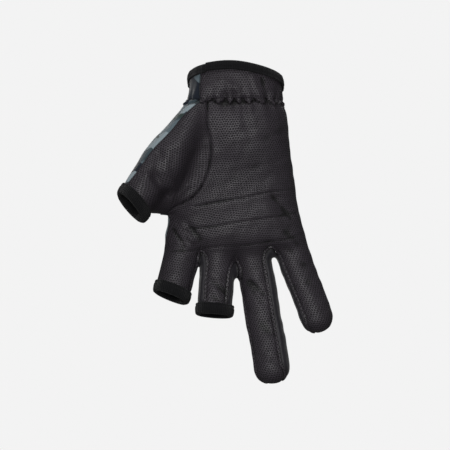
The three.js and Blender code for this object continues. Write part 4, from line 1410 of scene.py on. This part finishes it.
quilts = [quilted_line(number) for number in range(3)]
palm_surface = panel("palm_leather_panel", "palm_panel", palm_grid["grids"],
                     hand_cloth(palm_grid, front_arc, quilts), leather, palm_grid["maps"])
panel("back_fabric_panel", "back_panel", back_grid["grids"],
      hand_cloth(back_grid, back_arc), camouflage, back_grid["maps"])

for name, grid, slot, material in (
    ("thumb_front", thumb_front_grid, "palm_leather", leather),
    ("thumb_back", thumb_back_grid, "camouflage_fabric", camouflage),
):
    relief = cloth([], [front_arc, back_arc, inner_seam, outer_seam], [([grid[-1]], BINDING_WIDTH)])
    panel(name + "_leaf", name, [grid], relief, material)

for k, pair in enumerate(("index_middle", "middle_ring", "ring_little")):
    halves = fourchette_grids(k)
    edges = [half[:, column] for half in halves for column in (0, -1)]
    ends = [([half[-1]], BINDING_WIDTH) for half, f in zip(halves, FINGERS[k: k + 2]) if not f.whole]
    relief = cloth([], edges, ends)
    panel("fourchette_strip_" + pair, "fourchette_" + pair, halves, relief, stretch)


def wrist_ring(angles, back):
    return on_wrist(rim(angles) - back, angles)


def thumb_ring(angles, back):
    return on_thumb(thumb_end(angles) - back, angles)


def finger_ring(f):
    return lambda angles, back: f.on(f.end(angles) - back, angles)


for name, ring, width, lap, stitched in (
    ("wrist", wrist_ring, WRIST_BINDING_WIDTH, (316, 0.9, 14), -3.6),
    ("thumb", thumb_ring, BINDING_WIDTH, (128, 0.3, 6), -4.6),
    ("index", finger_ring(FINGERS[0]), BINDING_WIDTH, (120, 0.3, 6), -4.6),
    ("middle", finger_ring(FINGERS[1]), BINDING_WIDTH, (312, 0.3, 5), -4.6),
):
    tape(name + "_tape", name + "_binding", ring, width, lap, stitched)

stitches("palm_quilting_stitches", quilts, palm_surface)
stitches("thumb_seam_stitches", [front_arc], palm_surface, pitch=2.2, length=1.5, radius=0.2)


# The stage and its lights, in metres and watts
STAGE_RADIUS = 3.0
STAGE_HEIGHT = 6.0
STAGE_SIDES = 64
FLOOR_HEIGHT = -0.33
PAPER = "#f3f3f3"
LIGHTS = table("""
    name   x     y     z     size  power
    Front  -0.1  -1.5  0.16  0.6   13
    Top    -0.2  -0.5  1.2   0.7   5
    Back   0.2   1.5   0.5   0.8   6
""")
LIGHT_AIM = (0, 0, -0.1)
WORLD_STRENGTH = 0.14

# The camera: its place in metres, and its lens in millimetres
CAMERA_PLACE = (-0.0065, -1.6, -0.0956)
CAMERA_LENS = 197


def stage_bowl():
    """A pale floor that bends up into a wall all round, like a studio's paper sweep."""
    bend = np.linspace(0, 1, 13)[1:] * math.pi / 2
    run = np.concatenate([np.linspace(0, STAGE_RADIUS, 5), STAGE_RADIUS + np.sin(bend)])
    rise = np.concatenate([np.zeros(5), 1 - np.cos(bend)])
    run, rise = np.append(run, run[-1])[:, None], np.append(rise, STAGE_HEIGHT)[:, None]
    turn = np.linspace(0, math.tau, STAGE_SIDES + 1)[:-1]
    points = np.stack([run * np.cos(turn), run * np.sin(turn), 0 * turn + rise], -1)
    points = points.reshape(-1, 3) + np.array([0, 0, FLOOR_HEIGHT])
    faces = point_numbers(ring_corners(len(run) - 1, STAGE_SIDES), len(run), STAGE_SIDES)
    mesh = bpy.data.meshes.new("Floor")
    mesh.from_pydata(points.tolist(), [], faces.tolist())
    mesh.shade_smooth()
    floor = linked("Floor", mesh)
    constants = {"Roughness": 1.0, "Specular_IOR_Level": 0.0, "Emission_Strength": 1.0}
    material, _, shader = new_material("Pale paper", **constants)
    shader.inputs["Base Color"].default_value = (0, 0, 0, 1)
    shader.inputs["Emission Color"].default_value = srgb(PAPER)
    mesh.materials.append(material)
    floor.visible_diffuse = floor.visible_glossy = floor.visible_shadow = False


def softbox(row):
    """A round softbox at its place, turned to the glove."""
    light = bpy.data.lights.new(row["name"] + " softbox", "AREA")
    light.shape = "DISK"
    light.size = row["size"]
    light.energy = row["power"]
    obj = linked(light.name, light)
    obj.location = (row["x"], row["y"], row["z"])
    obj.rotation_euler = (Vector(LIGHT_AIM) - obj.location).to_track_quat("-Z", "Y").to_euler()


def studio():
    """The stage, the lights, a soft even world and the camera at the photograph's angle."""
    stage_bowl()
    for row in LIGHTS:
        softbox(row)
    world = bpy.data.worlds.new("Studio")
    world.use_nodes = True
    world.node_tree.nodes["Background"].inputs["Color"].default_value = srgb(PAPER)
    world.node_tree.nodes["Background"].inputs["Strength"].default_value = WORLD_STRENGTH
    bpy.context.scene.world = world
    bpy.context.scene.view_settings.view_transform = "Standard"
    camera = bpy.data.cameras.new("Camera")
    camera.lens = CAMERA_LENS
    camera.sensor_width = 36
    obj = linked("Camera", camera)
    obj.location = CAMERA_PLACE
    obj.rotation_euler = (math.pi / 2, 0, 0)
    bpy.context.scene.camera = obj


studio()
